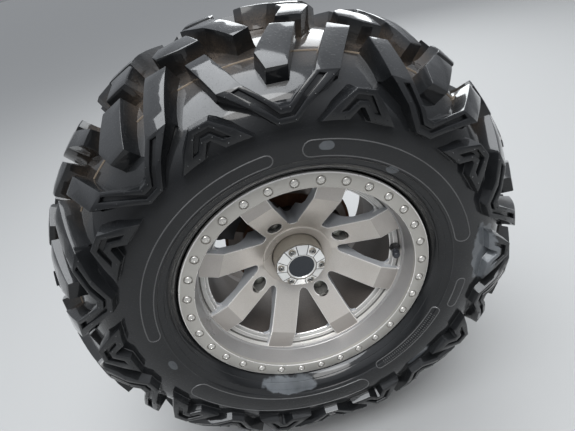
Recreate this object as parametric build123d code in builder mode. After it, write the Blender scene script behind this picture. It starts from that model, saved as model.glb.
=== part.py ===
"""Rear wheel end of an all-terrain vehicle: tyre and alloy wheel on a braked, driven hub.

The spin axis is Y, and the outer face of the wheel looks along -Y. +X is the vehicle's front
and +Z is up. The origin is on the spin axis, on the inboard face of the bearing carrier, where
four bolts hold the whole assembly to the vehicle's suspension arm. All lengths are millimetres.
Depths are counted inboard from the outer face of the wheel's ring.
"""

import os
from math import asin, cos, degrees, radians, sin

from build123d import *

# Tyre, from its 26 x 11 - 12 size
tyre_diameter = 660.0
tyre_width = 279.0
rim_width = 203.2
bead_seat_radius = 152.4
bead_clearance = 0.3
bead_width = 20.3
casing_sides = 40
casing_phase = 6.0
pitch_count = 10
vee_phase = 85.3

# Alloy wheel
ring_thickness = 5.0
ring_outer_radius = 169.4
ring_inner_radius = 149.2
ring_chamfer = 1.8
ring_bolt_circle_radius = 158.7
ring_bolt_count = 32
ring_bolt_phase = 6.1
ring_bolt_across_flats = 9.2
ring_bolt_head = 2.6
flange_thickness = 4.4
flange_radius = 167.5
barrel_wall = 4.2
well_radius = 135.0
bead_seat_width = 22.0
drop_length = 20.0
rear_drop_length = 40.0
lip_depth = 26.0
lip_wall = 7.9
ledge_front_depth = 31.0
ledge_back_depth = 39.0
spoke_count = 8
spoke_phase = 17.35
spoke_half_width = 18.8
spoke_flare = 0.7
spoke_thickness = 23.0
spoke_outer_depth = 31.0
spoke_root = 2.0
kink_radius = 115.2
kink_depth = 32.9
flare_radius = 50.1
flare_depth = 71.5
bore_rim_depth = 75.4
window_apex_round = 7.0
mount_face_depth = 102.0
hub_pad_radius = 84.0
hub_pad_length = 20.0

# Wheel fixings
lug_circle_radius = 68.5
lug_count = 4
lug_well_radius = 10.3
lug_seat_depth = 90.0
stud_radius = 6.0
stud_hole_clearance = 0.5
nut_across_flats = 15.0
nut_front_depth = 72.0
pilot_radius = 36.8
pilot_clearance = 0.3
pilot_length = 10.0

# Centre cap
cap_front_depth = 42.8
cap_edge_depth = 47.6
cap_radius = 36.2
cap_face_radius = 25.7
cap_wall = 2.5
cap_notch_radius = 5.6
cap_notch_depth = 3.0
cap_notch_circle_radius = 27.7
cap_notch_count = 6
cap_notch_phase = 45.0
badge_radius = 19.9
badge_recess = 3.2
badge_thickness = 2.0
badge_clearance = 0.3

# Valve
valve_angle = -5.15
valve_lean = 18.0
valve_hole_radius = 5.75
valve_stem_radius = 4.2
valve_foot_clearance = 0.15
valve_foot_length = 6.5
valve_length = 26.0
valve_sunk_length = 3.0
valve_cap_radius = 4.4
valve_cap_length = 12.0
valve_cap_sides = 12

# Hub, disc and stub axle
hub_flange_thickness = 9.0
hub_body_radius = 54.0
hub_ear_radius = 15.0
hub_neck_radius = 34.0
disc_offset = 28.0
disc_seat_thickness = 8.0
disc_seat_radius = 52.0
disc_thickness = 4.0
disc_inner_radius = 30.0
disc_bore_clearance = 0.1
disc_bolt_circle_radius = 43.5
disc_bolt_radius = 4.0
disc_bolt_across_flats = 13.0
disc_bolt_head = 3.0
spindle_radius = 21.94
spindle_overrun = 3.0
running_clearance = 0.06
stub_radius = 14.9
stub_clearance = 0.1
stub_tip_length = 14.0
stub_collar_radius = 26.0
stub_collar_thickness = 6.0
stub_end_radius = 13.0
stub_end_length = 42.0

# Bearing carrier
bearing_outer_radius = 34.0
bearing_width = 36.0
bearing_offset = 13.0
bearing_lip = 3.0
housing_wall = 10.0
housing_lip = 4.5
carrier_rear_wall = 12.0
carrier_rear_bore = 30.0
carrier_flange_thickness = 12.0
carrier_bolt_circle_radius = 58.0
carrier_bolt_count = 4
carrier_bolt_phase = 45.0
carrier_bolt_hole = 5.25
carrier_ear_radius = 13.0

# Brake caliper
caliper_angle = 135.0
caliper_half_angle = 21.0
caliper_barrel_clearance = 11.8
caliper_disc_clearance = 5.5
bridge_thickness = 13.5
caliper_height = 45.0
finger_height = 29.0
finger_thickness = 12.0
pad_clearance = 0.4
pad_thickness = 9.6
pad_half_angle = 17.0
pad_height = 25.5
pad_rim_margin = 1.5
piston_housing_radius = 21.0
piston_housing_length = 19.0
piston_drop = 13.0
ear_offset_angle = 29.0
ear_rise = 8.0
caliper_ear_radius = 11.0
caliper_ear_thickness = 10.0
carrier_lug_thickness = 12.0
carrier_lug_width = 17.6
caliper_bolt_radius = 5.0
caliper_bolt_clearance = 0.2
caliper_bolt_head = 6.0
caliper_bolt_across_flats = 17.0

# Radii inside the barrel
hub_bore_radius = pilot_radius + pilot_clearance
barrel_inner_radius = well_radius - barrel_wall
lip_radius = bead_seat_radius - lip_wall
ledge_step_radius = (lip_radius + barrel_inner_radius) / 2
caliper_outer_radius = barrel_inner_radius - caliper_barrel_clearance
bridge_inner_radius = caliper_outer_radius - bridge_thickness
disc_radius = bridge_inner_radius - caliper_disc_clearance
pad_outer_radius = disc_radius - pad_rim_margin
pad_inner_radius = pad_outer_radius - pad_height
piston_circle_radius = disc_radius - piston_drop
ear_circle_radius = disc_radius + ear_rise

# Places along the axis
disc_face_depth = mount_face_depth + disc_offset
disc_back_depth = disc_face_depth + disc_thickness
bearing_depth = disc_back_depth + bearing_offset
bearing_end_depth = bearing_depth + bearing_width
carrier_face_depth = bearing_end_depth + carrier_rear_wall
flange_inner_depth = ring_thickness + flange_thickness
flange_outer_depth = flange_inner_depth + rim_width
tyre_centre_depth = flange_inner_depth + rim_width / 2


def at_depth(depth):
    """Y of a plane that lies this far inboard of the wheel's outer face."""
    return depth - carrier_face_depth


def outward_plane(depth):
    """A plane across the spin axis, seen from outside: local x is +X, local y is +Z."""
    return Plane(origin=(0, at_depth(depth), 0), x_dir=(1, 0, 0), z_dir=(0, -1, 0))


def inward_plane(depth):
    """The same plane facing inboard, so that its local y is -Z."""
    return Plane(origin=(0, at_depth(depth), 0), x_dir=(1, 0, 0), z_dir=(0, 1, 0))


def radial(angle):
    """Unit vectors away from the axis and around it, at an angle from +X towards +Z."""
    outward = (cos(radians(angle)), 0, sin(radians(angle)))
    around = (-sin(radians(angle)), 0, cos(radians(angle)))
    return outward, around


def profile(points):
    """Points of a turned outline, given as radius and depth, as radius and Y."""
    return [(radius, at_depth(depth)) for radius, depth in points]


def polar(radius, angle):
    """A point of the side view, with its angle counted from +X towards +Z."""
    return (radius * cos(radians(angle)), radius * sin(radians(angle)))


def sector(inner_radius, outer_radius, half_angle):
    """An annular sector of the side view, centred on the caliper."""
    start = caliper_angle - half_angle
    end = caliper_angle + half_angle
    with BuildSketch() as outline:
        with BuildLine():
            Line(polar(inner_radius, start), polar(outer_radius, start))
            ThreePointArc(
                polar(outer_radius, start),
                polar(outer_radius, caliper_angle),
                polar(outer_radius, end),
            )
            Line(polar(outer_radius, end), polar(inner_radius, end))
            ThreePointArc(
                polar(inner_radius, end),
                polar(inner_radius, caliper_angle),
                polar(inner_radius, start),
            )
        make_face()
    return outline.sketch


def turned(points):
    """A solid of revolution about the spin axis, from points of radius and depth."""
    with BuildPart() as body:
        with BuildSketch(Plane.XY):
            with BuildLine():
                Polyline(profile(points), close=True)
            make_face()
        revolve(axis=Axis.Y)
    return body.part


def faceted(points, sides, turn=0.0):
    """A ring of flat facets about the spin axis, from points of facet radius and depth."""
    reach = 2 * max(radius for radius, depth in points)
    edge = 180 / sides
    outward, around = radial(turn)
    with BuildPart() as facet:
        with BuildSketch(Plane(origin=(0, 0, 0), x_dir=outward, z_dir=around)):
            with BuildLine():
                Polyline(profile(points), close=True)
            make_face()
        extrude(amount=reach * sin(radians(edge)), both=True)
        with BuildSketch(outward_plane(carrier_face_depth)):
            with BuildLine():
                Polyline((0, 0), polar(reach, turn - edge), polar(reach, turn + edge), close=True)
            make_face()
        extrude(amount=reach, both=True, mode=Mode.INTERSECT)
    copies = [facet.part.rotate(Axis.Y, -step * 2 * edge) for step in range(sides)]
    return copies[0].fuse(*copies[1:])


def save(part, label):
    part.label = label
    export_step(part, f"parts/{label}.step")


os.makedirs("parts", exist_ok=True)

# Tyre casing: a hollow ring of flat facets
# columns: distance from the centre plane, radius of the facets
tyre_radius = tyre_diameter / 2
half_width = tyre_width / 2
bead_half = rim_width / 2 - bead_clearance
bore_radius = bead_seat_radius + 1.2
casing_half = [
    (bead_half, flange_radius + 2.0),
    (half_width - 6.5, tyre_radius - 115.0),
    (half_width - 19.5, tyre_radius - 68.0),
    (62.0, tyre_radius - 35.5),
]
cavity_half = [
    (60.0, tyre_radius - 44.0),
    (half_width - 21.5, tyre_radius - 92.0),
    (bead_half - bead_width, bore_radius),
    (bead_half, bore_radius),
]


other_casing = [(-across, radius) for across, radius in reversed(casing_half)]
other_cavity = [(-across, radius) for across, radius in reversed(cavity_half)]
casing_section = casing_half + other_casing + other_cavity + cavity_half
casing_points = [(radius, tyre_centre_depth - across) for across, radius in casing_section]


# Lug tops of one side; columns: distance from the centre plane, radius
lug_tops = [
    (0.0, tyre_radius),
    (26.0, tyre_radius),
    (62.0, tyre_radius - 11.0),
    (half_width - 15.0, tyre_radius - 45.5),
    (half_width, tyre_radius - 90.0),
]

# Sections that bound the lugs, from their tops down into the casing; same columns
centre_section = [
    (0.0, tyre_radius),
    (26.0, tyre_radius),
    (66.0, tyre_radius - 12.2),
    (66.0, tyre_radius - 41.5),
    (0.0, tyre_radius - 39.5),
]
slope_section = [
    (58.0, tyre_radius - 8.8),
    (half_width - 15.0, tyre_radius - 45.5),
    (half_width - 15.0, tyre_radius - 92.0),
    (58.0, tyre_radius - 41.0),
]
vee_section = [
    (half_width - 21.5, tyre_radius - 41.9),
    (half_width - 15.0, tyre_radius - 45.5),
    (half_width + 2.7, tyre_radius - 98.0),
    (half_width - 15.0, tyre_radius - 98.0),
    (half_width - 21.5, tyre_radius - 83.0),
]
chevron_section = [
    (half_width - 36.5, tyre_radius - 58.8),
    (half_width - 2.7, tyre_radius - 57.5),
    (half_width + 0.4, tyre_radius - 98.0),
    (half_width - 17.5, tyre_radius - 98.0),
]

# Shoulder lugs of one pitch in the side view; columns: drop below the tips, angle from the vee
vee_outline = [
    (89.2, 2.35),
    (45.5, 12.45),
    (45.5, 7.3),
    (72.0, 0.0),
    (45.5, -7.3),
    (45.5, -12.45),
    (89.2, -2.35),
]
chevron_outline = [
    (59.8, 20.3),
    (92.5, 27.95),
    (91.2, 20.9),
    (79.0, 18.15),
    (91.2, 15.4),
    (92.5, 8.35),
    (59.8, 16.0),
]

# Tread blocks of one pitch; columns: angle from the vee, distance from the centre plane
leading_arm = [(7.3, 118.0), (12.45, 118.0), (15.7, 79.0), (11.5, 76.8)]
trailing_arm = [(-7.3, 118.0), (-12.45, 118.0), (-17.0, 66.0), (-12.4, 64.0)]
point_block = [(1.9, 115.5), (-2.5, 115.5), (-6.4, 62.0), (-1.6, 60.0), (3.0, 95.0)]
long_block = [(4.0, 64.0), (8.5, 6.0), (14.5, 8.0), (10.1, 33.0)]
short_block = [(-3.2, 47.0), (-8.2, 47.0), (-10.2, 10.0), (-4.6, 10.0)]
cross_block = [(11.6, 53.0), (16.5, 54.0), (21.0, 40.0), (14.0, 31.0)]


def top_radius(across):
    """Radius of the lugs' tops at a distance from the centre plane."""
    for (start, high), (end, low) in zip(lug_tops, lug_tops[1:]):
        if across <= end:
            break
    return high + (low - high) * (across - start) / (end - start)


def section_prism(section, angle):
    """A bar with a lug section, lying along the tread at an angle of the side view."""
    outward, around = radial(angle)
    points = [(radius, at_depth(tyre_centre_depth) - across) for across, radius in section]
    with BuildPart() as bar:
        with BuildSketch(Plane(origin=(0, 0, 0), x_dir=outward, z_dir=around)):
            with BuildLine():
                Polyline(points, close=True)
            make_face()
        extrude(amount=tyre_radius / 3, both=True)
    return bar.part


def shoulder_lug(outline, section, middle):
    """A lug with straight walls along the axis, from its outline in the side view."""
    with BuildPart() as lug:
        with BuildSketch(outward_plane(tyre_centre_depth)):
            with BuildLine():
                Polyline([polar(tyre_radius - drop, vee_phase + a) for drop, a in outline], close=True)
            make_face()
        extrude(amount=tyre_width)
        add(section_prism(section, vee_phase + middle), mode=Mode.INTERSECT)
    return lug.part


def tread_block(outline, section):
    """A lug with straight walls away from the axis, from its outline on the tread."""
    angles = [angle for angle, across in outline]
    middle = (min(angles) + max(angles)) / 2
    outward, around = radial(vee_phase + middle)
    points = [
        (top_radius(across) * sin(radians(angle - middle)), across - at_depth(tyre_centre_depth))
        for angle, across in outline
    ]
    with BuildPart() as block:
        with BuildSketch(Plane(origin=(0, 0, 0), x_dir=around, z_dir=outward)):
            with BuildLine():
                Polyline(points, close=True)
            make_face()
        extrude(amount=tyre_diameter)
        add(section_prism(section, vee_phase + middle), mode=Mode.INTERSECT)
    return block.part


vee = shoulder_lug(vee_outline, vee_section, 0.0).fuse(
    tread_block(leading_arm, slope_section),
    tread_block(trailing_arm, slope_section),
)
loose_lugs = [
    shoulder_lug(chevron_outline, chevron_section, 18.15),
    tread_block(point_block, slope_section),
    tread_block(long_block, centre_section),
    tread_block(short_block, centre_section),
    tread_block(cross_block, centre_section),
]
outer_lugs = vee.fuse(*loose_lugs)
inner_lugs = mirror(outer_lugs, about=Plane.XZ.offset(-at_depth(tyre_centre_depth)))
pitch_angle = 360 / pitch_count
lug_copies = []
for pitch in range(pitch_count):
    lug_copies.append(outer_lugs.rotate(Axis.Y, -pitch * pitch_angle))
    lug_copies.append(inner_lugs.rotate(Axis.Y, -(pitch + 0.5) * pitch_angle))

with BuildPart() as tyre:
    add(faceted(casing_points, casing_sides, casing_phase).fuse(*lug_copies))
save(tyre.part, "tyre")

# Alloy wheel: an eight-sided spoked dish inside a round barrel
back_depth = spoke_outer_depth + spoke_thickness
dish_points = [
    (0, bore_rim_depth + (flare_depth - bore_rim_depth) / 2),
    (flare_radius, flare_depth),
    (kink_radius, kink_depth),
    (lip_radius + spoke_root, spoke_outer_depth),
    (barrel_inner_radius + spoke_root, back_depth),
    (kink_radius + barrel_wall, kink_depth + spoke_thickness),
    (hub_pad_radius, mount_face_depth - hub_pad_length),
    (hub_pad_radius, mount_face_depth),
    (0, mount_face_depth),
]
half_pitch = 180 / spoke_count
window_apex = spoke_half_width / sin(radians(half_pitch))
dish_reach = max(lip_radius, barrel_inner_radius) + spoke_root
window_reach = dish_reach / cos(radians(half_pitch)) ** 2
edge_turn = degrees(asin((spoke_half_width + spoke_flare) / window_reach))
window_corner = polar(window_reach, half_pitch - edge_turn)

barrel_points = [
    (ring_inner_radius, ring_thickness),
    (flange_radius, ring_thickness),
    (flange_radius, flange_inner_depth),
    (bead_seat_radius, flange_inner_depth),
    (bead_seat_radius, flange_inner_depth + bead_seat_width),
    (well_radius, flange_inner_depth + bead_seat_width + drop_length),
    (well_radius, flange_outer_depth - bead_seat_width - rear_drop_length),
    (bead_seat_radius, flange_outer_depth - bead_seat_width),
    (bead_seat_radius, flange_outer_depth),
    (flange_radius, flange_outer_depth),
    (flange_radius, flange_outer_depth + flange_thickness),
    (bead_seat_radius - barrel_wall, flange_outer_depth + flange_thickness),
    (bead_seat_radius - barrel_wall, flange_outer_depth - bead_seat_width),
    (barrel_inner_radius, flange_outer_depth - bead_seat_width - rear_drop_length),
    (barrel_inner_radius, ledge_back_depth),
    (ledge_step_radius, ledge_back_depth),
    (ledge_step_radius, ledge_front_depth),
    (lip_radius, ledge_front_depth),
    (lip_radius, lip_depth),
]

valve_direction = (
    -sin(radians(valve_lean)) * cos(radians(valve_angle)),
    -cos(radians(valve_lean)),
    -sin(radians(valve_lean)) * sin(radians(valve_angle)),
)
valve_foot = (
    ledge_step_radius * cos(radians(valve_angle)),
    at_depth(ledge_back_depth + valve_sunk_length),
    ledge_step_radius * sin(radians(valve_angle)),
)
valve_plane = Plane(origin=valve_foot, x_dir=(0, 0, 1), z_dir=valve_direction)

with BuildPart() as rim:
    add(faceted(dish_points, spoke_count, spoke_phase))
    with BuildSketch(inward_plane(0)):
        with PolarLocations(0, spoke_count, start_angle=half_pitch - spoke_phase):
            Polygon(
                (window_apex, 0),
                (window_corner[0], -window_corner[1]),
                (window_corner[0], window_corner[1]),
                align=None,
            )
        fillet(vertices().group_by(SortBy.DISTANCE)[0], window_apex_round)
    extrude(amount=mount_face_depth, mode=Mode.SUBTRACT)
    add(turned(barrel_points))
    with BuildSketch(outward_plane(mount_face_depth)):
        Circle(hub_bore_radius)
    extrude(amount=mount_face_depth, mode=Mode.SUBTRACT)
    with BuildSketch(outward_plane(lug_seat_depth)):
        with PolarLocations(lug_circle_radius, lug_count, start_angle=spoke_phase):
            Circle(lug_well_radius)
    extrude(amount=lug_seat_depth, mode=Mode.SUBTRACT)
    with BuildSketch(outward_plane(mount_face_depth)):
        with PolarLocations(lug_circle_radius, lug_count, start_angle=spoke_phase):
            Circle(stud_radius + stud_hole_clearance)
    extrude(amount=mount_face_depth - lug_seat_depth, mode=Mode.SUBTRACT)
    with BuildSketch(valve_plane.offset(-valve_length)):
        Circle(valve_hole_radius)
    extrude(amount=2 * valve_length, mode=Mode.SUBTRACT)
save(rim.part, "rim")

# Outer ring of the wheel and its bolt heads
with BuildPart() as ring:
    with BuildSketch(outward_plane(ring_thickness)):
        Circle(ring_outer_radius)
        Circle(ring_inner_radius, mode=Mode.SUBTRACT)
    extrude(amount=ring_thickness)
    outer_edges = ring.edges().filter_by(GeomType.CIRCLE).group_by(SortBy.RADIUS)[-1]
    chamfer(outer_edges.sort_by(Axis.Y)[0], ring_chamfer)
save(ring.part, "outer_ring")

with BuildPart() as ring_bolts:
    with BuildSketch(outward_plane(0)):
        with PolarLocations(ring_bolt_circle_radius, ring_bolt_count, start_angle=ring_bolt_phase):
            RegularPolygon(ring_bolt_across_flats / 2, 6, major_radius=False)
    extrude(amount=ring_bolt_head)
save(ring_bolts.part, "ring_bolts")

# Valve stem, with its foot in the barrel's ledge, and its ribbed cap
with BuildPart() as valve_stem:
    with BuildSketch(valve_plane):
        Circle(valve_stem_radius)
    extrude(amount=valve_length)
    with BuildSketch(valve_plane):
        Circle(valve_hole_radius - valve_foot_clearance)
    extrude(amount=valve_foot_length)
save(valve_stem.part, "valve_stem")

with BuildPart() as valve_cap:
    with BuildSketch(valve_plane.offset(valve_length)):
        RegularPolygon(valve_cap_radius, valve_cap_sides)
    extrude(amount=valve_cap_length)
    chamfer(valve_cap.faces().sort_by(Axis.Y)[0].edges(), valve_cap_radius / 4)
save(valve_cap.part, "valve_cap")

# Centre cap: a cup with six screw notches in its bevelled edge
badge_floor_depth = cap_front_depth + badge_recess
cap_end_depth = mount_face_depth - pilot_length
notch_floor_depth = cap_front_depth + cap_notch_depth
cap_points = [
    (0, badge_floor_depth),
    (badge_radius, badge_floor_depth),
    (badge_radius, cap_front_depth),
    (cap_face_radius, cap_front_depth),
    (cap_radius, cap_edge_depth),
    (cap_radius, cap_end_depth),
    (cap_radius - cap_wall, cap_end_depth),
    (cap_radius - cap_wall, cap_edge_depth + cap_wall),
    (0, cap_edge_depth + cap_wall),
]
with BuildPart() as centre_cap:
    add(turned(cap_points))
    with BuildSketch(outward_plane(notch_floor_depth)):
        with PolarLocations(cap_notch_circle_radius, cap_notch_count, start_angle=cap_notch_phase):
            Circle(cap_notch_radius)
    extrude(amount=cap_notch_depth, mode=Mode.SUBTRACT)
save(centre_cap.part, "centre_cap")

with BuildPart() as cap_badge:
    with BuildSketch(outward_plane(badge_floor_depth)):
        Circle(badge_radius - badge_clearance)
    extrude(amount=badge_thickness)
save(cap_badge.part, "cap_badge")

# Wheel nuts, closed at the front, on studs pressed into the hub
hub_back_depth = mount_face_depth + hub_flange_thickness
with BuildPart() as lug_nuts:
    with BuildSketch(outward_plane(lug_seat_depth)):
        with PolarLocations(lug_circle_radius, lug_count, start_angle=spoke_phase):
            RegularPolygon(nut_across_flats / 2, 6, major_radius=False)
    extrude(amount=lug_seat_depth - nut_front_depth)
save(lug_nuts.part, "lug_nuts")

with BuildPart() as wheel_studs:
    with BuildSketch(outward_plane(hub_back_depth)):
        with PolarLocations(lug_circle_radius, lug_count, start_angle=spoke_phase):
            Circle(stud_radius)
    extrude(amount=hub_back_depth - lug_seat_depth)
save(wheel_studs.part, "wheel_studs")

# Hub: pilot, flange with four ears, neck, disc seat, spigot and spindle
seat_front_depth = disc_face_depth - disc_seat_thickness
spindle_end_depth = bearing_end_depth + spindle_overrun
hub_points = [
    (stub_radius + stub_clearance, mount_face_depth - pilot_length),
    (pilot_radius, mount_face_depth - pilot_length),
    (pilot_radius, mount_face_depth),
    (hub_body_radius, mount_face_depth),
    (hub_body_radius, hub_back_depth),
    (hub_neck_radius, hub_back_depth),
    (hub_neck_radius, seat_front_depth),
    (disc_seat_radius, seat_front_depth),
    (disc_seat_radius, disc_face_depth),
    (disc_inner_radius - disc_bore_clearance, disc_face_depth),
    (disc_inner_radius - disc_bore_clearance, bearing_depth),
    (spindle_radius, bearing_depth),
    (spindle_radius, spindle_end_depth),
    (stub_radius + stub_clearance, spindle_end_depth),
]
with BuildPart() as hub:
    add(turned(hub_points))
    with BuildSketch(outward_plane(hub_back_depth)):
        with PolarLocations(lug_circle_radius, lug_count, start_angle=spoke_phase):
            Circle(hub_ear_radius)
        with PolarLocations(lug_circle_radius / 2, lug_count, start_angle=spoke_phase):
            Rectangle(lug_circle_radius, 2 * hub_ear_radius)
        Circle(hub_neck_radius, mode=Mode.SUBTRACT)
    extrude(amount=hub_flange_thickness)
    with BuildSketch(outward_plane(hub_back_depth)):
        with PolarLocations(lug_circle_radius, lug_count, start_angle=spoke_phase):
            Circle(stud_radius)
    extrude(amount=hub_flange_thickness, mode=Mode.SUBTRACT)
save(hub.part, "hub")

# Brake disc and its bolts
with BuildPart() as brake_disc:
    with BuildSketch(outward_plane(disc_back_depth)):
        Circle(disc_radius)
        Circle(disc_inner_radius, mode=Mode.SUBTRACT)
        with PolarLocations(disc_bolt_circle_radius, lug_count):
            Circle(disc_bolt_radius, mode=Mode.SUBTRACT)
    extrude(amount=disc_thickness)
save(brake_disc.part, "brake_disc")

with BuildPart() as disc_bolts:
    with BuildSketch(inward_plane(disc_back_depth)):
        with PolarLocations(disc_bolt_circle_radius, lug_count):
            RegularPolygon(disc_bolt_across_flats / 2, 6, major_radius=False)
    extrude(amount=disc_bolt_head)
    with BuildSketch(inward_plane(disc_face_depth)):
        with PolarLocations(disc_bolt_circle_radius, lug_count):
            Circle(disc_bolt_radius)
    extrude(amount=disc_thickness)
save(disc_bolts.part, "disc_bolts")

# Stub axle: through the hub, with a collar and the end that the drive shaft slides over
collar_end_depth = spindle_end_depth + stub_collar_thickness
stub_tip_depth = cap_end_depth - stub_tip_length
stub_points = [
    (0, stub_tip_depth),
    (stub_radius, stub_tip_depth),
    (stub_radius, spindle_end_depth),
    (stub_collar_radius, spindle_end_depth),
    (stub_collar_radius, collar_end_depth),
    (stub_end_radius, collar_end_depth),
    (stub_end_radius, carrier_face_depth + stub_end_length),
    (0, carrier_face_depth + stub_end_length),
]
with BuildPart() as stub_axle:
    add(turned(stub_points))
save(stub_axle.part, "stub_axle")

# Wheel bearing
with BuildPart() as wheel_bearing:
    with BuildSketch(outward_plane(bearing_end_depth)):
        Circle(bearing_outer_radius)
        Circle(spindle_radius + running_clearance, mode=Mode.SUBTRACT)
    extrude(amount=bearing_width)
save(wheel_bearing.part, "wheel_bearing")

# Bearing carrier: housing, four-eared mounting flange and the caliper's two lugs
housing_radius = bearing_outer_radius + housing_wall
housing_front_depth = bearing_depth - housing_lip
pad_front_depth = disc_face_depth - pad_clearance - pad_thickness
pad_back_depth = disc_back_depth + pad_clearance + pad_thickness
ear_back_depth = pad_back_depth + caliper_ear_thickness
lug_back_depth = ear_back_depth + carrier_lug_thickness
ear_angles = [caliper_angle - ear_offset_angle, caliper_angle + ear_offset_angle]
housing_points = [
    (bearing_outer_radius - bearing_lip, housing_front_depth),
    (housing_radius, housing_front_depth),
    (housing_radius, carrier_face_depth),
    (carrier_rear_bore, carrier_face_depth),
    (carrier_rear_bore, bearing_end_depth),
    (bearing_outer_radius, bearing_end_depth),
    (bearing_outer_radius, bearing_depth),
    (bearing_outer_radius - bearing_lip, bearing_depth),
]
with BuildPart() as bearing_carrier:
    add(turned(housing_points))
    with BuildSketch(outward_plane(carrier_face_depth)):
        with PolarLocations(
            carrier_bolt_circle_radius, carrier_bolt_count, start_angle=carrier_bolt_phase
        ):
            Circle(carrier_ear_radius)
        with PolarLocations(
            carrier_bolt_circle_radius / 2, carrier_bolt_count, start_angle=carrier_bolt_phase
        ):
            Rectangle(carrier_bolt_circle_radius, 2 * carrier_ear_radius)
        Circle(bearing_outer_radius + housing_wall / 2, mode=Mode.SUBTRACT)
    extrude(amount=carrier_flange_thickness)
    with BuildSketch(outward_plane(lug_back_depth)):
        for angle in ear_angles:
            with Locations(polar(ear_circle_radius, angle)):
                Circle(caliper_ear_radius)
            with Locations(Location(polar(ear_circle_radius / 2, angle), angle)):
                Rectangle(ear_circle_radius, carrier_lug_width)
        Circle(bearing_outer_radius + housing_wall / 2, mode=Mode.SUBTRACT)
    extrude(amount=carrier_lug_thickness)
    with BuildSketch(outward_plane(carrier_face_depth)):
        with PolarLocations(
            carrier_bolt_circle_radius, carrier_bolt_count, start_angle=carrier_bolt_phase
        ):
            Circle(carrier_bolt_hole)
    extrude(amount=carrier_flange_thickness, mode=Mode.SUBTRACT)
    with BuildSketch(outward_plane(lug_back_depth)):
        for angle in ear_angles:
            with Locations(polar(ear_circle_radius, angle)):
                Circle(caliper_bolt_radius + caliper_bolt_clearance)
    extrude(amount=carrier_lug_thickness, mode=Mode.SUBTRACT)
save(bearing_carrier.part, "bearing_carrier")

# Brake caliper: bridge over the disc, outboard fingers, inboard piston housing and two ears
finger_depth = pad_front_depth - finger_thickness
with BuildPart() as caliper:
    with BuildSketch(outward_plane(ear_back_depth)):
        add(sector(caliper_outer_radius - caliper_height, caliper_outer_radius, caliper_half_angle))
    extrude(amount=ear_back_depth - pad_back_depth)
    with BuildSketch(outward_plane(ear_back_depth)):
        add(sector(bridge_inner_radius, caliper_outer_radius, caliper_half_angle))
    extrude(amount=ear_back_depth - finger_depth)
    with BuildSketch(outward_plane(pad_front_depth)):
        add(sector(caliper_outer_radius - finger_height, caliper_outer_radius, caliper_half_angle))
    extrude(amount=finger_thickness)
    with BuildSketch(outward_plane(ear_back_depth)):
        for angle in ear_angles:
            with Locations(polar(ear_circle_radius, angle)):
                Circle(caliper_ear_radius)
        add(
            sector(
                ear_circle_radius - caliper_ear_radius,
                ear_circle_radius + caliper_ear_radius,
                ear_offset_angle,
            )
        )
    extrude(amount=caliper_ear_thickness)
    with BuildSketch(inward_plane(ear_back_depth)):
        with Locations(polar(piston_circle_radius, -caliper_angle)):
            Circle(piston_housing_radius)
    extrude(amount=piston_housing_length)
    with BuildSketch(outward_plane(ear_back_depth)):
        for angle in ear_angles:
            with Locations(polar(ear_circle_radius, angle)):
                Circle(caliper_bolt_radius + caliper_bolt_clearance)
    extrude(amount=caliper_ear_thickness, mode=Mode.SUBTRACT)
save(caliper.part, "caliper")

with BuildPart() as brake_pads:
    for depth in (pad_front_depth + pad_thickness, pad_back_depth):
        with BuildSketch(outward_plane(depth)):
            add(sector(pad_inner_radius, pad_outer_radius, pad_half_angle))
        extrude(amount=pad_thickness)
save(brake_pads.part, "brake_pads")

with BuildPart() as caliper_bolts:
    for angle in ear_angles:
        with BuildSketch(inward_plane(pad_back_depth)):
            with Locations(polar(ear_circle_radius, -angle)):
                Circle(caliper_bolt_radius)
        extrude(amount=lug_back_depth - pad_back_depth)
        with BuildSketch(inward_plane(lug_back_depth)):
            with Locations(polar(ear_circle_radius, -angle)):
                RegularPolygon(caliper_bolt_across_flats / 2, 6, major_radius=False)
        extrude(amount=caliper_bolt_head)
save(caliper_bolts.part, "caliper_bolts")
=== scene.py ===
# %% [markdown]
# # Rear wheel end of an all-terrain vehicle
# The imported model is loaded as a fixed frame. Each piece that shows is then drawn again with
# more detail in the same place, or keeps its CAD mesh and gets a finish.

from math import atan2, cos, degrees, hypot, pi, radians, sin

import bmesh
import bpy
from mathutils import Matrix, Vector


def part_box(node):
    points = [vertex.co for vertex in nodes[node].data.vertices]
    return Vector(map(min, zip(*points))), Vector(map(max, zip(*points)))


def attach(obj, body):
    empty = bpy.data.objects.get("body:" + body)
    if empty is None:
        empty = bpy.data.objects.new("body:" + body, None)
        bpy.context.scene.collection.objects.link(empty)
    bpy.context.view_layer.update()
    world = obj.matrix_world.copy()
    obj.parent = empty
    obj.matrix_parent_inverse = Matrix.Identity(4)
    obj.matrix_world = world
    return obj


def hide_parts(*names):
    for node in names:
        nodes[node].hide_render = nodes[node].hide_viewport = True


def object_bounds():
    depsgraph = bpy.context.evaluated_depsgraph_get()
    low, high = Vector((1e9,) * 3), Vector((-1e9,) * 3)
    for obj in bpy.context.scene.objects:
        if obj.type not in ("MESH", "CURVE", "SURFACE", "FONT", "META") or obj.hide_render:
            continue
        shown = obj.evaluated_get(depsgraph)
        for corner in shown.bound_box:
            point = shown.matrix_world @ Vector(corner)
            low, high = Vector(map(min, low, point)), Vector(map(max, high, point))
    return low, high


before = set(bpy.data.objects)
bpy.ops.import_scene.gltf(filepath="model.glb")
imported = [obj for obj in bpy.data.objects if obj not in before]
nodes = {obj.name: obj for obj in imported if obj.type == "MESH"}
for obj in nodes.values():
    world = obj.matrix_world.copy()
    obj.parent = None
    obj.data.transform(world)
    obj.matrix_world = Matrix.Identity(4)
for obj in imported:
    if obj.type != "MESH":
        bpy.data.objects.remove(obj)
cad_box = [list(v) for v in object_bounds()]
collection = bpy.context.scene.collection
print("CAD box", cad_box)

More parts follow.
